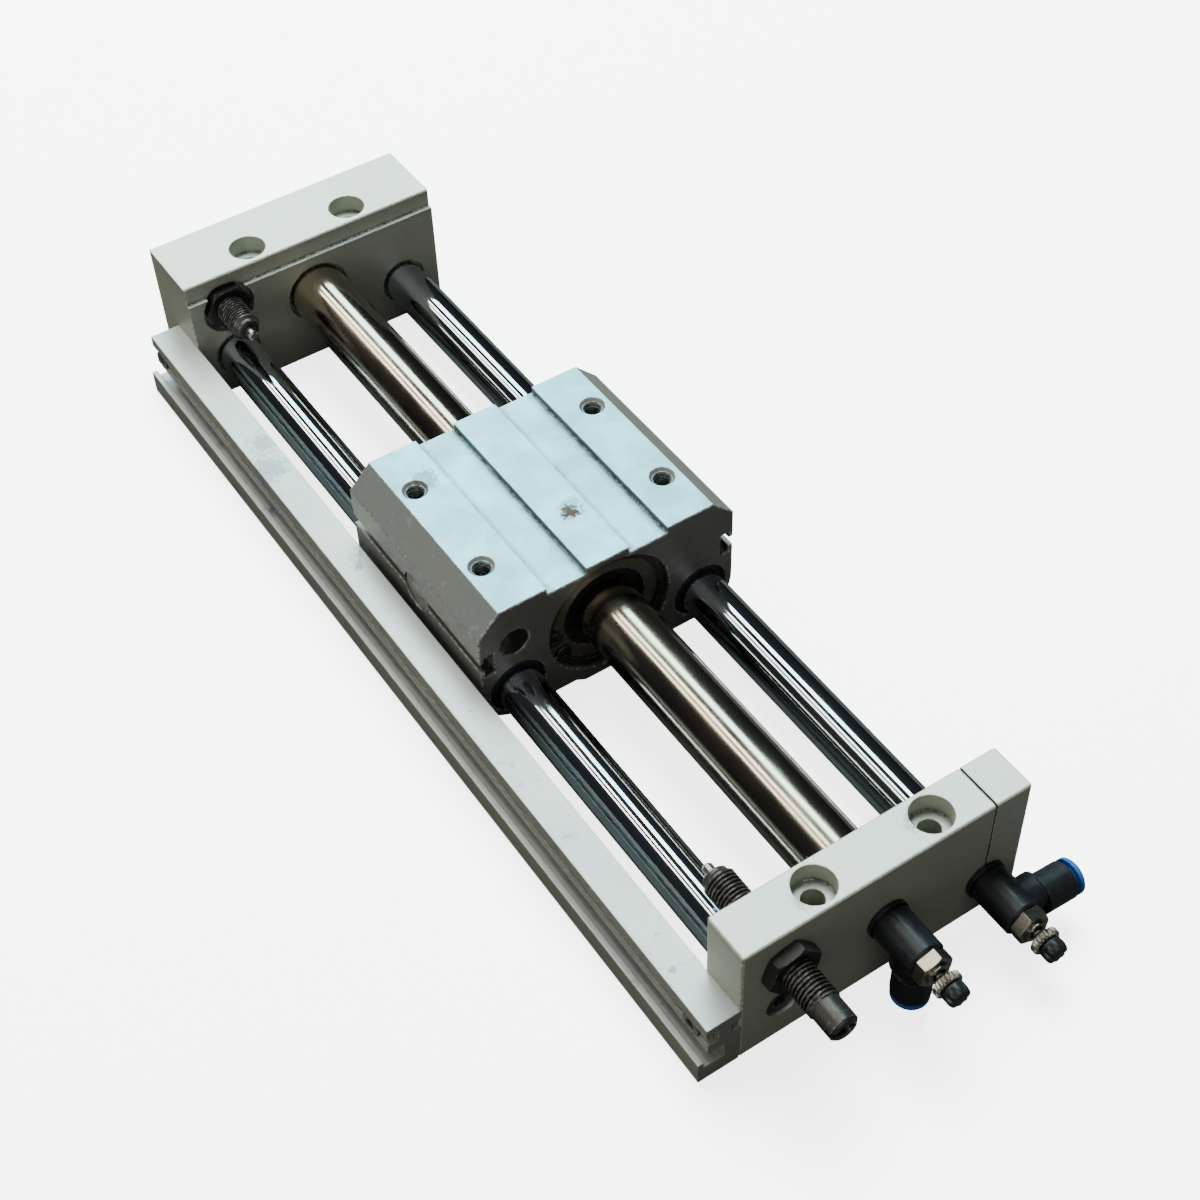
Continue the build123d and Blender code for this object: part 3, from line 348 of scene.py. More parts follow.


# Milling marks: a wave of x + sqrt(sweep^2 - y^2) over the pitch, so the lines lie across and bow a little;
# only faces above Top From that look up or down carry it, and the rest counts as side, which gets painted
# shade
def buildMilling(setting):
    tree, given, made = newGroup(
        "millingMarks",
        [
            ("Vector", "NodeSocketVector", None),
            ("Pitch", "NodeSocketFloat", 0.0009),
            ("Sweep", "NodeSocketFloat", 0.06),
            ("Top From", "NodeSocketFloat", -1.0),
        ],
        [("Height", "NodeSocketFloat"), ("Line", "NodeSocketFloat"), ("Side", "NodeSocketFloat")],
    )
    vector, sweep = given.outputs["Vector"], given.outputs["Sweep"]
    split = tree.nodes.new("ShaderNodeSeparateXYZ")
    tree.links.new(vector, split.inputs[0])
    under = mathNode(
        tree, "SUBTRACT", mathNode(tree, "MULTIPLY", sweep, sweep),
        mathNode(tree, "MULTIPLY", split.outputs["Y"], split.outputs["Y"]),
    )
    arc = mathNode(tree, "SQRT", mathNode(tree, "MAXIMUM", under, 0.0))
    turns = mathNode(tree, "DIVIDE", mathNode(tree, "ADD", split.outputs["X"], arc), given.outputs["Pitch"])
    wave = mathNode(tree, "SINE", mathNode(tree, "MULTIPLY", turns, 2 * math.pi))
    fineTurns = mathNode(tree, "MULTIPLY", turns, setting["fineRatio"] * 2 * math.pi)
    fine = mathNode(tree, "MULTIPLY", mathNode(tree, "SINE", fineTurns), setting["fineShare"])
    both = mathNode(tree, "ADD", wave, fine)
    broken = rangeNode(tree, noiseNode(tree, vector, *setting["breakup"]), *setting["breakRange"])
    geometry = tree.nodes.new("ShaderNodeNewGeometry")
    facing = tree.nodes.new("ShaderNodeSeparateXYZ")
    tree.links.new(geometry.outputs["Normal"], facing.inputs[0])
    high = mathNode(tree, "GREATER_THAN", split.outputs["Z"], given.outputs["Top From"])
    level = mathNode(tree, "MULTIPLY", mathNode(tree, "ABSOLUTE", facing.outputs["Z"]), high)
    cut = mathNode(tree, "MULTIPLY", both, broken)
    height = mathNode(tree, "MULTIPLY", cut, rangeNode(tree, level, *setting["levelRange"]))
    tree.links.new(height, made.inputs["Height"])
    tree.links.new(rangeNode(tree, height, *setting["lineRange"]), made.inputs["Line"])
    tree.links.new(rangeNode(tree, level, *setting["shadedSideRange"]), made.inputs["Side"])
    return tree


cornerShadeSet = {
    "samples": 6, "cornerRange": (0.96, 0.62), "patches": (260.0, 4.0, 0.6),
    "patchRange": (0.3, 0.6, 0.45, 1.0),
}


# Painted corner shade: the nearer a point lies to an inner corner, the less sky it sees, and patches break
# that darkening up
def buildCornerShade(setting):
    tree, given, made = newGroup(
        "cornerShade",
        [("Vector", "NodeSocketVector", None), ("Reach", "NodeSocketFloat", 0.0008)],
        [("Mask", "NodeSocketFloat")],
    )
    hidden = tree.nodes.new("ShaderNodeAmbientOcclusion")
    hidden.samples = setting["samples"]
    hidden.only_local = True
    tree.links.new(given.outputs["Reach"], hidden.inputs["Distance"])
    corner = rangeNode(tree, hidden.outputs["AO"], *setting["cornerRange"])
    patches = noiseNode(tree, given.outputs["Vector"], *setting["patches"])
    patchy = rangeNode(tree, patches, *setting["patchRange"])
    tree.links.new(mathNode(tree, "MULTIPLY", corner, patchy, clamp=True), made.inputs["Mask"])
    return tree


spotSet = {"rim": (900.0, 5.0, 0.65), "rimRange": (0.3, 0.7, -0.6, 0.6), "fadeRange": (1.0, 0.5)}


# Spot: one well inside the radius and nothing outside it, with a ragged rim
def buildSpot(setting):
    tree, given, made = newGroup(
        "stainSpot",
        [
            ("Vector", "NodeSocketVector", None),
            ("Centre", "NodeSocketVector", None),
            ("Radius", "NodeSocketFloat", 0.003),
        ],
        [("Mask", "NodeSocketFloat")],
    )
    gap = tree.nodes.new("ShaderNodeVectorMath")
    gap.operation = "DISTANCE"
    tree.links.new(given.outputs["Vector"], gap.inputs[0])
    tree.links.new(given.outputs["Centre"], gap.inputs[1])
    share = mathNode(tree, "DIVIDE", gap.outputs["Value"], given.outputs["Radius"])
    rim = noiseNode(tree, given.outputs["Vector"], *setting["rim"])
    ragged = mathNode(tree, "ADD", share, rangeNode(tree, rim, *setting["rimRange"]))
    tree.links.new(rangeNode(tree, ragged, *setting["fadeRange"]), made.inputs["Mask"])
    return tree


wornEdges = buildEdgeWear(edgeSet)
handlingMarks = buildHandling(handlingSet)
millingMarks = buildMilling(millingSet)
cornerShade = buildCornerShade(cornerShadeSet)
stainSpot = buildSpot(spotSet)


def placeGroup(tree, group, vector, **values):
    node = tree.nodes.new("ShaderNodeGroup")
    node.node_tree = group
    tree.links.new(vector, node.inputs["Vector"])
    for key, value in values.items():
        node.inputs[key].default_value = value
    return node


def newMaterial(name):
    material = bpy.data.materials.new(name)
    material.use_nodes = True
    tree = material.node_tree
    shader = tree.nodes["Principled BSDF"]
    coords = tree.nodes.new("ShaderNodeTexCoord")
    return material, tree, shader, coords.outputs["Object"]


def bumpNode(tree, height, strength, distance, normal=None):
    node = tree.nodes.new("ShaderNodeBump")
    node.inputs["Strength"].default_value = strength
    node.inputs["Distance"].default_value = distance
    tree.links.new(height, node.inputs["Height"])
    if normal is not None:
        tree.links.new(normal, node.inputs["Normal"])
    return node.outputs["Normal"]


# Machined or blasted metal: tone, milled lines, painted shade on side faces, scratches, stains, painted
# corner shade, then worn edges; a spot holds its centre, its radius and how much of the stain shows
def machinedMetal(name, setting):
    material, tree, shader, vector = newMaterial(name)
    wear = placeGroup(tree, wornEdges, vector, Width=setting["edge"], Amount=setting["wear"])
    marks = placeGroup(tree, handlingMarks, vector, **{
        "Stain Level": setting["stainLevel"],
        "Scratch Scale": setting["scratch"],
    })
    toned = mixNode(tree, marks.outputs["Cloud"], setting["dark"], setting["light"])
    milled = placeGroup(tree, millingMarks, vector, **{
        "Pitch": setting["pitch"],
        "Top From": setting["topFrom"],
    })
    lines = mathNode(tree, "MULTIPLY", milled.outputs["Line"], setting["milling"])
    toned = mixNode(tree, lines, toned, setting["line"])
    # Painted shade: faces that don't look up or down, or that lie below Top From, are multiplied by the side
    # colour
    toned = mixNode(tree, milled.outputs["Side"], toned, setting["side"], "MULTIPLY")
    scratch = mathNode(tree, "MULTIPLY", marks.outputs["Scratch"], setting["scratchShare"])
    scratched = mixNode(tree, scratch, toned, setting["worn"])
    stained = mixNode(tree, marks.outputs["Stain"], scratched, setting["stain"])
    for x, y, z, radius, share in setting["spots"]:
        spot = placeGroup(tree, stainSpot, vector, Centre=(x, y, z), Radius=radius)
        part = mathNode(tree, "MULTIPLY", spot.outputs["Mask"], share)
        stained = mixNode(tree, part, stained, setting["stain"])
    # Painted shade: ambient occlusion in inner corners mixes the colour toward a near-black tone that stands
    # for corner shadow
    paintedShade = placeGroup(tree, cornerShade, vector, Reach=setting["shadeReach"])
    shadeShare = mathNode(tree, "MULTIPLY", paintedShade.outputs["Mask"], setting["paintedShade"])
    shaded = mixNode(tree, shadeShare, stained, setting["shadeTone"])
    final = mixNode(tree, wear.outputs["Mask"], shaded, setting["worn"])
    tree.links.new(final, shader.inputs["Base Color"])
    shader.inputs["Metallic"].default_value = setting["metallic"]
    along = stretchNode(tree, vector, setting["grainStretch"])
    grain = noiseNode(tree, along, setting["grain"], *setting["grainNoise"])
    low, high = setting["roughness"] - setting["smoother"], setting["roughness"] + setting["rougher"]
    tree.links.new(rangeNode(tree, grain, *setting["grainRange"], low, high), shader.inputs["Roughness"])
    normal = bumpNode(tree, grain, setting["bump"], setting["bumpHeight"], wear.outputs["Normal"])
    if setting["milling"] > 0:
        height = milled.outputs["Height"]
        normal = bumpNode(tree, height, setting["milling"], setting["bumpHeight"], normal)
    tree.links.new(normal, shader.inputs["Normal"])
    return material


metalBase = {
    "dark": (0.47, 0.49, 0.46), "light": (0.62, 0.64, 0.60), "worn": (0.86, 0.86, 0.84),
    "stain": (0.24, 0.21, 0.16), "stainLevel": 0.74, "scratch": 700.0, "scratchShare": 0.05, "metallic": 0.75,
    "edge": 0.0004, "wear": 0.9, "grain": 9000.0, "grainStretch": (1.0, 1.0, 1.0), "roughness": 0.46,
    "bump": 0.25, "milling": 0.0, "pitch": 0.0009, "side": (1.0, 1.0, 1.0), "spots": (),
    # The near-black tone, its share and its reach on the next line set the painted corner shade
    "line": (0.30, 0.31, 0.30), "shadeTone": (0.035, 0.032, 0.028), "paintedShade": 0.75, "shadeReach": 0.0013,
    "topFrom": -1.0, "grainNoise": (3.0, 0.7), "grainRange": (0.3, 0.7), "smoother": 0.06, "rougher": 0.08,
    "bumpHeight": 0.0001,
}
plateSet = dict(
    # side: painted shade, darker and warmer on the plates' faces that don't look up
    metalBase, dark=(0.51, 0.57, 0.52), light=(0.60, 0.66, 0.61), metallic=0.4, side=(0.66, 0.62, 0.57),
    stain=(0.13, 0.12, 0.10), wear=1.0, edge=0.0006,
    spots=((0.128, 0.012, 0.039, 0.0035, 0.5), (0.130, -0.020, 0.039, 0.0028, 0.45)),
)
blockSet = dict(
    # Painted light: the cyan tone is the lamp-lit top's colour, and side multiplies every other face, and
    # faces below topFrom, down to a shaded grey
    metalBase, dark=(0.31, 0.67, 0.81), light=(0.34, 0.71, 0.85), worn=(0.80, 0.90, 0.92),
    # Strong, wide painted corner shade here stands for the shadow lines at the block's channel steps
    line=(0.24, 0.48, 0.57), paintedShade=0.95, shadeReach=0.0026, edge=0.0005, topFrom=0.036,
    stain=(0.06, 0.045, 0.03), stainLevel=0.76, scratch=420.0, metallic=0.45, grain=2600.0,
    grainStretch=(0.08, 1.0, 1.0), roughness=0.36, bump=0.3, milling=0.5, side=(0.48, 0.22, 0.173),
    spots=(
        (-0.019, -0.0221, 0.0407, 0.0038, 0.55),
        (0.0106, 0.0009, 0.0407, 0.0028, 1.0),
        (0.0085, 0.0022, 0.0407, 0.0030, 0.45),
    ),
)
railSet = dict(
    metalBase, dark=(0.33, 0.38, 0.42), light=(0.58, 0.60, 0.55), worn=(0.93, 0.93, 0.92),
    stain=(0.19, 0.24, 0.31), stainLevel=0.60, scratch=600.0, metallic=0.6, edge=0.0003, wear=0.7,
    # side: painted shade on the rail's faces that don't look up
    grain=3000.0, grainStretch=(0.02, 1.0, 1.0), roughness=0.42, bump=0.2, side=(0.78, 0.75, 0.68),
    spots=(
        (0.1181, -0.0444, 0.0192, 0.0012, 0.9),
        (-0.066, -0.0448, 0.0192, 0.0060, 0.75),
        (-0.0757, -0.0416, 0.0192, 0.0045, 0.7),
    ),
)
spacerSet = dict(metalBase, dark=(0.15, 0.14, 0.115), light=(0.26, 0.24, 0.20), roughness=0.38)
steelSet = dict(
    metalBase, dark=(0.06, 0.057, 0.053), light=(0.13, 0.125, 0.118), worn=(0.55, 0.53, 0.50), metallic=0.9,
    roughness=0.38, stain=(0.05, 0.04, 0.035), stainLevel=0.6,
)
blackNutSet = dict(
    metalBase, dark=(0.018, 0.018, 0.018), light=(0.04, 0.04, 0.04), worn=(0.30, 0.29, 0.28), metallic=0.6,
    roughness=0.35, wear=0.5, stainLevel=0.9,
)
padSet = dict(steelSet, dark=(0.05, 0.045, 0.04), light=(0.15, 0.135, 0.12), stainLevel=0.46)
nickelSet = dict(
    metalBase, dark=(0.36, 0.34, 0.29), light=(0.50, 0.47, 0.41), worn=(0.80, 0.78, 0.72), metallic=1.0,
    roughness=0.26, bump=0.1, stain=(0.15, 0.13, 0.10), edge=0.0002,
)
pinSet = dict(nickelSet, dark=(0.45, 0.44, 0.42), light=(0.62, 0.61, 0.59), roughness=0.25)
magnetSet = dict(steelSet, dark=(0.30, 0.30, 0.32), light=(0.42, 0.42, 0.44), stainLevel=0.9)
bronzeSet = dict(metalBase, dark=(0.42, 0.30, 0.16), light=(0.55, 0.42, 0.24), metallic=0.9, roughness=0.4)


# Polished bars: mirror chrome or drawn stainless, with faint oil smears and turning lines
def polishedBar(name, setting):
    material, tree, shader, vector = newMaterial(name)
    around = stretchNode(tree, vector, setting["lineStretch"])
    lines = noiseNode(tree, around, setting["lineScale"], *setting["lineNoise"])
    smear = noiseNode(tree, stretchNode(tree, vector, setting["smearStretch"]), *setting["smearNoise"])
    color = mixNode(tree, smear, setting["dark"], setting["light"])
    tree.links.new(color, shader.inputs["Base Color"])
    shader.inputs["Metallic"].default_value = 1.0
    low, high = setting["roughness"], setting["roughness"] + setting["smear"]
    tree.links.new(rangeNode(tree, smear, *setting["smearRange"], low, high), shader.inputs["Roughness"])
    tree.links.new(bumpNode(tree, lines, setting["bump"], setting["bumpHeight"]), shader.inputs["Normal"])
    return material


barBase = {
    "lineStretch": (1.0, 0.04, 0.04), "lineNoise": (2.0, 0.6), "smearStretch": (0.25, 1.0, 1.0),
    "smearNoise": (90.0, 4.0, 0.6), "smearRange": (0.45, 0.75), "bumpHeight": 0.00002,
}
chromeSet = dict(
    barBase, dark=(0.50, 0.56, 0.66), light=(0.66, 0.72, 0.82), roughness=0.05, smear=0.10,
    lineScale=5000.0, bump=0.02,
)
tubeSet = dict(
    barBase, dark=(0.44, 0.40, 0.33), light=(0.58, 0.53, 0.44), roughness=0.12, smear=0.12,
    lineScale=7000.0, bump=0.08,
)


# Moulded plastic and rubber
def mouldedPlastic(name, setting):
    material, tree, shader, vector = newMaterial(name)
    wear = placeGroup(tree, wornEdges, vector, Width=setting["edge"], Amount=setting["wear"])
    cloud = noiseNode(tree, vector, *setting["cloudNoise"])
    toned = mixNode(tree, cloud, setting["dark"], setting["light"])
    final = mixNode(tree, wear.outputs["Mask"], toned, setting["worn"])
    tree.links.new(final, shader.inputs["Base Color"])
    low, high = setting["roughness"] - setting["smoother"], setting["roughness"] + setting["rougher"]
    tree.links.new(rangeNode(tree, cloud, *setting["cloudRange"], low, high), shader.inputs["Roughness"])
    fine = noiseNode(tree, vector, *setting["fineNoise"])
    normal = bumpNode(tree, fine, setting["bump"], setting["bumpHeight"], wear.outputs["Normal"])
    tree.links.new(normal, shader.inputs["Normal"])
    return material


fittingSet = {
    "dark": (0.004, 0.0045, 0.006), "light": (0.011, 0.013, 0.017), "worn": (0.09, 0.10, 0.11),
    "roughness": 0.36, "bump": 0.2, "edge": 0.0004, "wear": 0.3, "cloudNoise": (300.0, 4.0, 0.6),
    "cloudRange": (0.35, 0.65), "smoother": 0.08, "rougher": 0.10, "fineNoise": (6000.0, 2.0, 0.6),
    "bumpHeight": 0.00005,
}
blueSet = dict(
    fittingSet, dark=(0.010, 0.045, 0.20), light=(0.020, 0.085, 0.32), worn=(0.12, 0.25, 0.50),
    roughness=0.30,
)
rubberSet = dict(fittingSet, roughness=0.6, bump=0.5)
wearRingSet = dict(fittingSet, dark=(0.55, 0.52, 0.44), light=(0.66, 0.63, 0.55), roughness=0.5)
holderSet = dict(fittingSet, dark=(0.14, 0.14, 0.13), light=(0.22, 0.22, 0.20), roughness=0.5)

materials = {
    "plate_aluminium": machinedMetal("plateAluminium", plateSet),
    "block_aluminium": machinedMetal("blockAluminium", blockSet),
    "clear_anodised_rail": machinedMetal("railAnodised", railSet),
    "spacer_aluminium": machinedMetal("spacerAluminium", spacerSet),
    "stainless_tube": polishedBar("stainlessTube", tubeSet),
    "chromed_rod": polishedBar("chromedRod", chromeSet),
    "screw_steel": machinedMetal("screwSteel", dict(steelSet, light=(0.34, 0.33, 0.32))),
    "seal_rubber": mouldedPlastic("sealRubber", rubberSet),
    "shock_steel": machinedMetal("shockSteel", steelSet),
    "blackened_steel": machinedMetal("blackenedSteel", blackNutSet),
    "nickel_brass": machinedMetal("nickelBrass", nickelSet),
    "pin_steel": machinedMetal("pinSteel", pinSet),
    "magnet": machinedMetal("magnetNickel", magnetSet),
    "yoke_steel": machinedMetal("yokeSteel", magnetSet),
    "wear_ring_plastic": mouldedPlastic("wearRingPlastic", wearRingSet),
    "spring_steel": machinedMetal("springSteel", steelSet),
    "bush_bronze": machinedMetal("bushBronze", bronzeSet),
    "pad_steel": machinedMetal("padSteel", padSet),
    "holder_plastic": mouldedPlastic("holderPlastic", holderSet),
    "fitting_plastic": mouldedPlastic("fittingPlastic", fittingSet),
    "ring_blue_plastic": mouldedPlastic("ringBlue", blueSet),
}


def dressNodes():
    for part in frame["record"]["subparts"]:
        piece = nodes[part["node"]]
        piece.data.materials.clear()
        piece.data.materials.append(materials[part["material_slot"]])


dressNodes()
print("materials placed:", len(materials))


# Surfaces: every new piece is a grid of points worked out at once and put into a mesh

meshSet = {"join": 1e-7, "sharpAngle": 35}


def meshFromGrids(name, grids):
    points, faces, start = [], [], 0
    for grid, wrapRows, wrapColumns in grids:
        rows, columns = grid.shape[:2]
        index = np.arange(rows * columns).reshape(rows, columns) + start
        if wrapRows:
            index = np.vstack([index, index[:1]])
        if wrapColumns:
            index = np.hstack([index, index[:, :1]])
        quads = np.stack([index[:-1, :-1], index[1:, :-1], index[1:, 1:], index[:-1, 1:]], axis=-1)
        points.append(grid.reshape(-1, 3))
        faces.append(quads.reshape(-1, 4))
        start += rows * columns
    mesh = bpy.data.meshes.new(name)
    mesh.from_pydata(np.concatenate(points).tolist(), [], np.concatenate(faces).tolist())
    work = bmesh.new()
    work.from_mesh(mesh)
    bmesh.ops.remove_doubles(work, verts=work.verts, dist=meshSet["join"])
    bmesh.ops.dissolve_degenerate(work, edges=work.edges, dist=meshSet["join"])
    bmesh.ops.recalc_face_normals(work, faces=work.faces)
    work.to_mesh(mesh)
    work.free()
    mesh.shade_smooth()
    mesh.set_sharp_from_angle(angle=math.radians(meshSet["sharpAngle"]))
    piece = bpy.data.objects.new(name, mesh)
    bpy.context.scene.collection.objects.link(piece)
    return piece


def finishPiece(piece, body, slotName, *replaced):
    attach(piece, body)
    if replaced:
        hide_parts(*replaced)
    piece.data.materials.append(materials[slotName])


# Where a piece lies along X: the middle of its first end, its length and its radius
def lyingPiece(node, along=1):
    low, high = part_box(node)
    start = low[0] if along > 0 else high[0]
    middle = (start, (low[1] + high[1]) / 2, (low[2] + high[2]) / 2)
    return middle, high[0] - low[0], (high[1] - low[1]) / 2


# Lathe: each (distance, radius) pair of the outline goes round the axis; spin gives what is added to the
# radius at each distance and angle, so threads, knurls and flutes come from one formula
def turnedGrid(outline, axisPoint, along, spin=None, steps=96):
    distance = np.array([pair[0] for pair in outline])[:, None]
    radius = np.array([pair[1] for pair in outline])[:, None]
    angle = np.linspace(0, 2 * math.pi, steps, endpoint=False)[None, :]
    radius = radius + np.zeros_like(angle)
    if spin is not None:
        radius = np.maximum(radius + spin(distance, angle, radius), 0.0)
    along = np.array(along, dtype=float)
    helper = np.array((0.0, 0.0, 1.0)) if abs(along[2]) < 0.9 else np.array((1.0, 0.0, 0.0))
    first = np.cross(helper, along)
    first /= np.linalg.norm(first)
    second = np.cross(along, first)
    centre = np.array(axisPoint)[None, None, :] + distance[..., None] * along
    ring = np.cos(angle)[..., None] * first + np.sin(angle)[..., None] * second
    return centre + radius[..., None] * ring


print("surface helpers ready")


# Shock absorbers: a rolled thread, a stepped nose and a slotted, hollow end. Lengths are in metres, and
# neckFrom and neckTo are shares of the nose's length
threadShape = {"plateau": 1.6, "flank": 4.6}
shockSet = {
    "pitch": 0.001,
    "crest": 0.004,
    "root": 0.0033,
    "nose": 0.0032,
    "noseLength": 0.002,
    "well": 0.00145,
    "wellDepth": 0.022,
    "plain": 0.00365,
    "plainEdge": 0.0006,
    "slotWidth": 0.0016,
    "slotDepth": 0.0022,
    "recess": 0.0017,
    "recessTaper": 0.0002,
    "recessWall": 0.0012,
    "recessFloor": 0.0016,
    "chamfer": 0.0003,
    "wellFlare": 0.0002,
    "neckFrom": 0.5,
    "neckTo": 0.55,
    "runOut": 0.0002,
    "crestMargin": 1e-6,
    "portPlain": 0.0069,
    "farPlain": 0.003,
    "steps": 72,
    "arcSteps": 20,
    "perTurn": 10,
}


# Thread: the radius falls by up to the depth, as a trapezoid wave of distance over pitch less the turn,
# clip(plateau - flank * |phase - 0.5|, 0, 1), and fades in and out at its ends
def threadFall(pitch, depth, start, end, fade):
    def fall(distance, angle, radius):
        phase = np.mod(distance / pitch - angle / (2 * math.pi), 1.0)
        wave = np.clip(threadShape["plateau"] - np.abs(phase - 0.5) * threadShape["flank"], 0.0, 1.0)
        inside = np.clip((distance - start) / fade, 0, 1) * np.clip((end - distance) / fade, 0, 1)
        return -depth * wave * inside
    return fall


# Slotted end: two ring sectors, one each side of the slot, drawn by their arcs and carried along
def sectorGrid(side, outer, inner, halfSlot, axisPoint, along, start, end, edge, count):
    fromOuter = math.asin(halfSlot / outer)
    fromInner = math.asin(halfSlot / inner)
    outerArc = np.linspace(fromOuter, math.pi - fromOuter, count)
    innerArc = np.linspace(math.pi - fromInner, fromInner, count)
    rings = []
    for distance, shrink in ((start, 0.0), (end - edge, 0.0), (end, edge)):
        flat = np.concatenate([
            np.stack([(outer - shrink) * np.cos(outerArc), (outer - shrink) * np.sin(outerArc)], axis=-1),
            np.stack([inner * np.cos(innerArc), inner * np.sin(innerArc)], axis=-1),
        ]) * side
        ring = np.zeros((len(flat), 3))
        ring[:, 0] = axisPoint[0] + along * distance
        ring[:, 1] = axisPoint[1] + flat[:, 0]
        ring[:, 2] = axisPoint[2] + flat[:, 1]
        rings.append(ring)
    middle = lambda ring: 0.5 * (ring + np.concatenate([ring[count:][::-1], ring[:count][::-1]]))
    return np.array([middle(rings[0])] + rings + [middle(rings[-1])])


def makeShockBody(name, node, setting, along, plainLength):
    axisPoint, length, _ = lyingPiece(node, along)
    chamfer = setting["chamfer"]
    threadEnd = length - plainLength
    solidEnd = length - setting["slotDepth"]
    samples = int(threadEnd / setting["pitch"] * setting["perTurn"])
    threaded = [(d, setting["crest"]) for d in np.linspace(setting["noseLength"], threadEnd, samples)]
    outline = [
        (setting["wellDepth"], 0.0),
        (setting["wellDepth"], setting["well"]),
        (chamfer, setting["well"]),
        (0.0, setting["well"] + setting["wellFlare"]),
        (0.0, setting["nose"] - chamfer),
        (chamfer, setting["nose"]),
        (setting["noseLength"] * setting["neckFrom"], setting["nose"]),
        (setting["noseLength"] * setting["neckTo"], setting["root"]),
    ] + threaded + [
        (threadEnd + setting["runOut"], setting["plain"]),
        (solidEnd, setting["plain"]),
        (solidEnd, setting["recess"]),
        (solidEnd - setting["recessWall"], setting["recess"] - setting["recessTaper"]),
        (solidEnd - setting["recessFloor"], 0.0),
    ]
    depth = setting["crest"] - setting["root"]
    fall = threadFall(setting["pitch"], depth, setting["noseLength"], threadEnd, setting["pitch"])
    onThread = lambda distance, angle, radius: np.where(
        radius > setting["crest"] - setting["crestMargin"], fall(distance, angle, radius), 0
    )
    grids = [(turnedGrid(outline, axisPoint, (along, 0, 0), onThread, setting["steps"]), False, True)]
    for side in (-1, 1):
        grids.append((sectorGrid(
            side, setting["plain"], setting["recess"], setting["slotWidth"] / 2, axisPoint, along,
            solidEnd, length, setting["plainEdge"], setting["arcSteps"],
        ), False, True))
    piece = meshFromGrids(name, grids)
    finishPiece(piece, "frame", "shock_steel", node)


makeShockBody("portShockBody", "port_shock_body", shockSet, 1, shockSet["portPlain"])
makeShockBody("farShockBody", "far_shock_body", shockSet, -1, shockSet["farPlain"])
print("shock absorbers threaded")


# Needle lock nuts: straight knurl round the rim, chamfered ends and a flat boss
locknutSet = {
    "teeth": 22, "depth": 0.0006, "sharpness": 1.1, "edge": 0.0005, "bevel": 0.4, "bore": 0.0018,
    "steps": 22 * 10,
}


def makeLocknut(port, setting):
    node = port + "_locknut"
    axisPoint, length, rim = lyingPiece(node)
    edge = setting["edge"]
    bevel = setting["bevel"] * edge
    outline = [
        (0.0, setting["bore"]), (0.0, rim - 2 * edge), (bevel, rim - edge), (edge, rim),
        (length - edge, rim), (length - bevel, rim - edge), (length, rim - 2 * edge),
        (length, setting["bore"]),
    ]
    knurl = lambda distance, angle, radius: np.where(
        radius > rim - edge / 2,
        -setting["depth"] * (0.5 - 0.5 * np.cos(setting["teeth"] * angle)) ** setting["sharpness"],
        0.0,
    )
    piece = meshFromGrids(port + "LockNut", [
        (turnedGrid(outline, axisPoint, (1, 0, 0), knurl, setting["steps"]), True, True),
    ])
    finishPiece(piece, node, "nickel_brass", node)


# Needle knobs: a short black cap with deep flutes and a domed end
knobSet = {
    "flutes": 8, "depth": 0.00045, "sharpness": 1.5, "fade": 0.0004, "collar": 0.0009, "foot": 0.0004,
    "step": 0.0002, "inset": 0.0001, "edge": 0.0006, "dome": ((1.0, 0.25), (0.3, 0.8), (0.0, 1.8)),
    "steps": 8 * 14,
}


def makeKnob(port, setting):
    node = port + "_knob"
    axisPoint, length, rim = lyingPiece(node)
    collar, edge, step = setting["collar"], setting["edge"], setting["step"]
    dome = [(length - back * edge, rim - fall * edge) for back, fall in setting["dome"]]
    outline = [
        (0.0, 0.0), (0.0, rim - setting["foot"]), (step, rim - setting["inset"]),
        (collar, rim - setting["inset"]), (collar + step, rim), (length - 2 * edge, rim),
    ] + dome + [(length, 0.0)]
    inFlute = lambda distance: np.clip((distance - collar) / setting["fade"], 0, 1)
    valley = lambda angle: (
        np.clip(0.5 - 0.5 * np.cos(setting["flutes"] * angle), 0, 1) ** setting["sharpness"]
    )
    flutes = lambda distance, angle, radius: np.where(
        radius > rim * 0.5, -setting["depth"] * inFlute(distance) * valley(angle), 0.0
    )
    piece = meshFromGrids(port + "Knob", [
        (turnedGrid(outline, axisPoint, (1, 0, 0), flutes, setting["steps"]), False, True),
    ])
    finishPiece(piece, port + "_needle", "fitting_plastic", node)


for port in ("tube_port", "rod_port"):
    makeLocknut(port, locknutSet)
    makeKnob(port, knobSet)
print("fitting trim made")


# Threads of the block's tapped holes: a shell whose inner wall stands proud along a helix
tapSet = {
    "pitch": 0.001, "height": 0.0004, "hole": 0.0025, "proud": 0.00003, "back": 0.0001, "depth": 0.0085,
    "start": 0.0008, "perTurn": 10, "steps": 48,
}


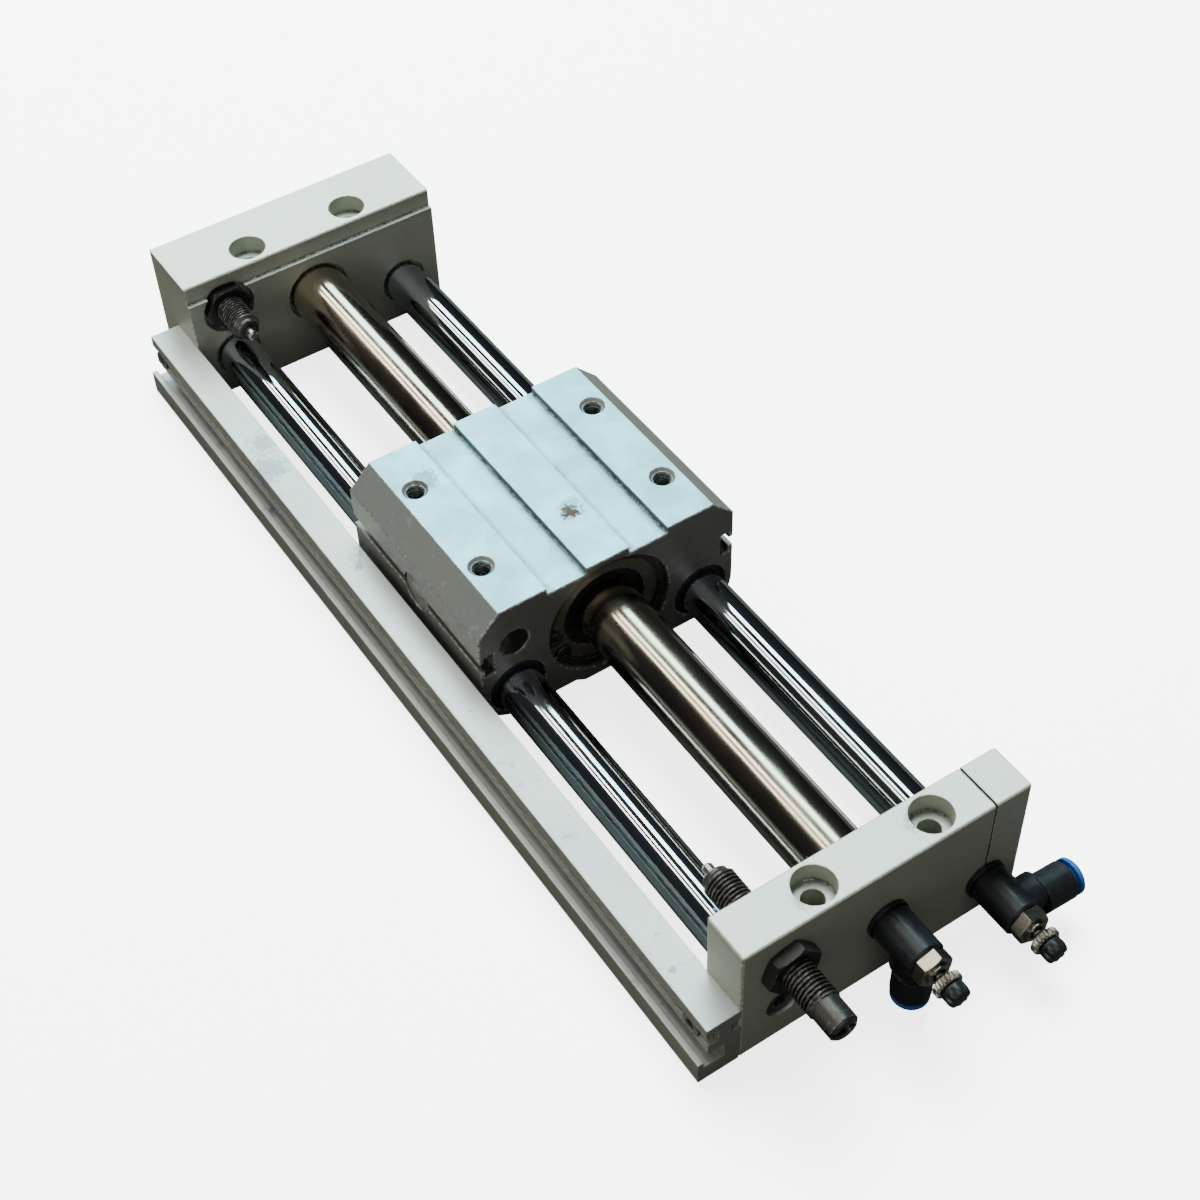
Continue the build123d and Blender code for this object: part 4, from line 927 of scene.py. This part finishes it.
def makeTapThreads(setting):
    pattern = next(m for m in frame["record"]["mounts"] if m["name"] == "carriage_holes")
    cx, cy, _ = pattern["pos_m"]
    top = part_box("slide_block")[1][2]
    halfInMetres = 2000  # what a spacing in millimetres is divided by, for half of it in metres
    dx = pattern["dims"]["spacing_x_mm"] / halfInMetres
    dy = pattern["dims"]["spacing_y_mm"] / halfInMetres
    start, end = setting["start"], setting["start"] + setting["depth"]
    samples = int(setting["depth"] / setting["pitch"] * setting["perTurn"])
    inner = [(d, setting["hole"] - setting["proud"]) for d in np.linspace(start, end, samples)]
    outer = setting["hole"] + setting["back"]
    outline = [(start, outer)] + inner + [(end, outer)]
    fall = threadFall(setting["pitch"], setting["height"], start, end, setting["pitch"])
    onInner = lambda distance, angle, radius: np.where(
        radius < setting["hole"], fall(distance, angle, radius), 0
    )
    grids = []
    for sx in (-1, 1):
        for sy in (-1, 1):
            place = (cx + sx * dx, cy + sy * dy, top)
            grids.append((turnedGrid(outline, place, (0, 0, -1), onInner, setting["steps"]), True, True))
    piece = meshFromGrids("blockHoleThreads", grids)
    finishPiece(piece, "carriage", "block_aluminium")


makeTapThreads(tapSet)
print("tapped holes threaded")


# Rod scrapers: rubber rings whose lip leans out along the rod
scraperSet = {
    "lip": 0.00605, "outer": 0.0077, "thickness": 0.0024, "chamfer": 0.0003, "dip": 0.0004, "band": 0.0008,
    "slope": 0.0002, "taper": 0.0003, "tip": 0.00005, "lipLength": 0.0008, "flare": 0.0004, "steps": 64,
}


def makeRodScrapers(setting):
    low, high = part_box("rod_scrapers")
    outer, lip, thickness = setting["outer"], setting["lip"], setting["thickness"]
    outline = [
        (-thickness, outer), (-setting["chamfer"], outer), (0.0, outer - setting["chamfer"]),
        (-setting["dip"], outer - setting["band"]), (-setting["slope"], lip + setting["taper"]),
        (-setting["tip"], lip), (-setting["lipLength"], lip), (-thickness, lip + setting["flare"]),
    ]
    grids = []
    for rod in ("left_guide_rod", "right_guide_rod"):
        rodLow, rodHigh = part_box(rod)
        y, z = (rodLow[1] + rodHigh[1]) / 2, (rodLow[2] + rodHigh[2]) / 2
        for edge, outwards in ((low[0], -1), (high[0], 1)):
            grid = turnedGrid(outline, (edge, y, z), (outwards, 0, 0), None, setting["steps"])
            grids.append((grid, True, True))
    piece = meshFromGrids("rodScraperLips", grids)
    finishPiece(piece, "carriage", "seal_rubber", "rod_scrapers")


makeRodScrapers(scraperSet)
print("scrapers made")


print("pieces ready")
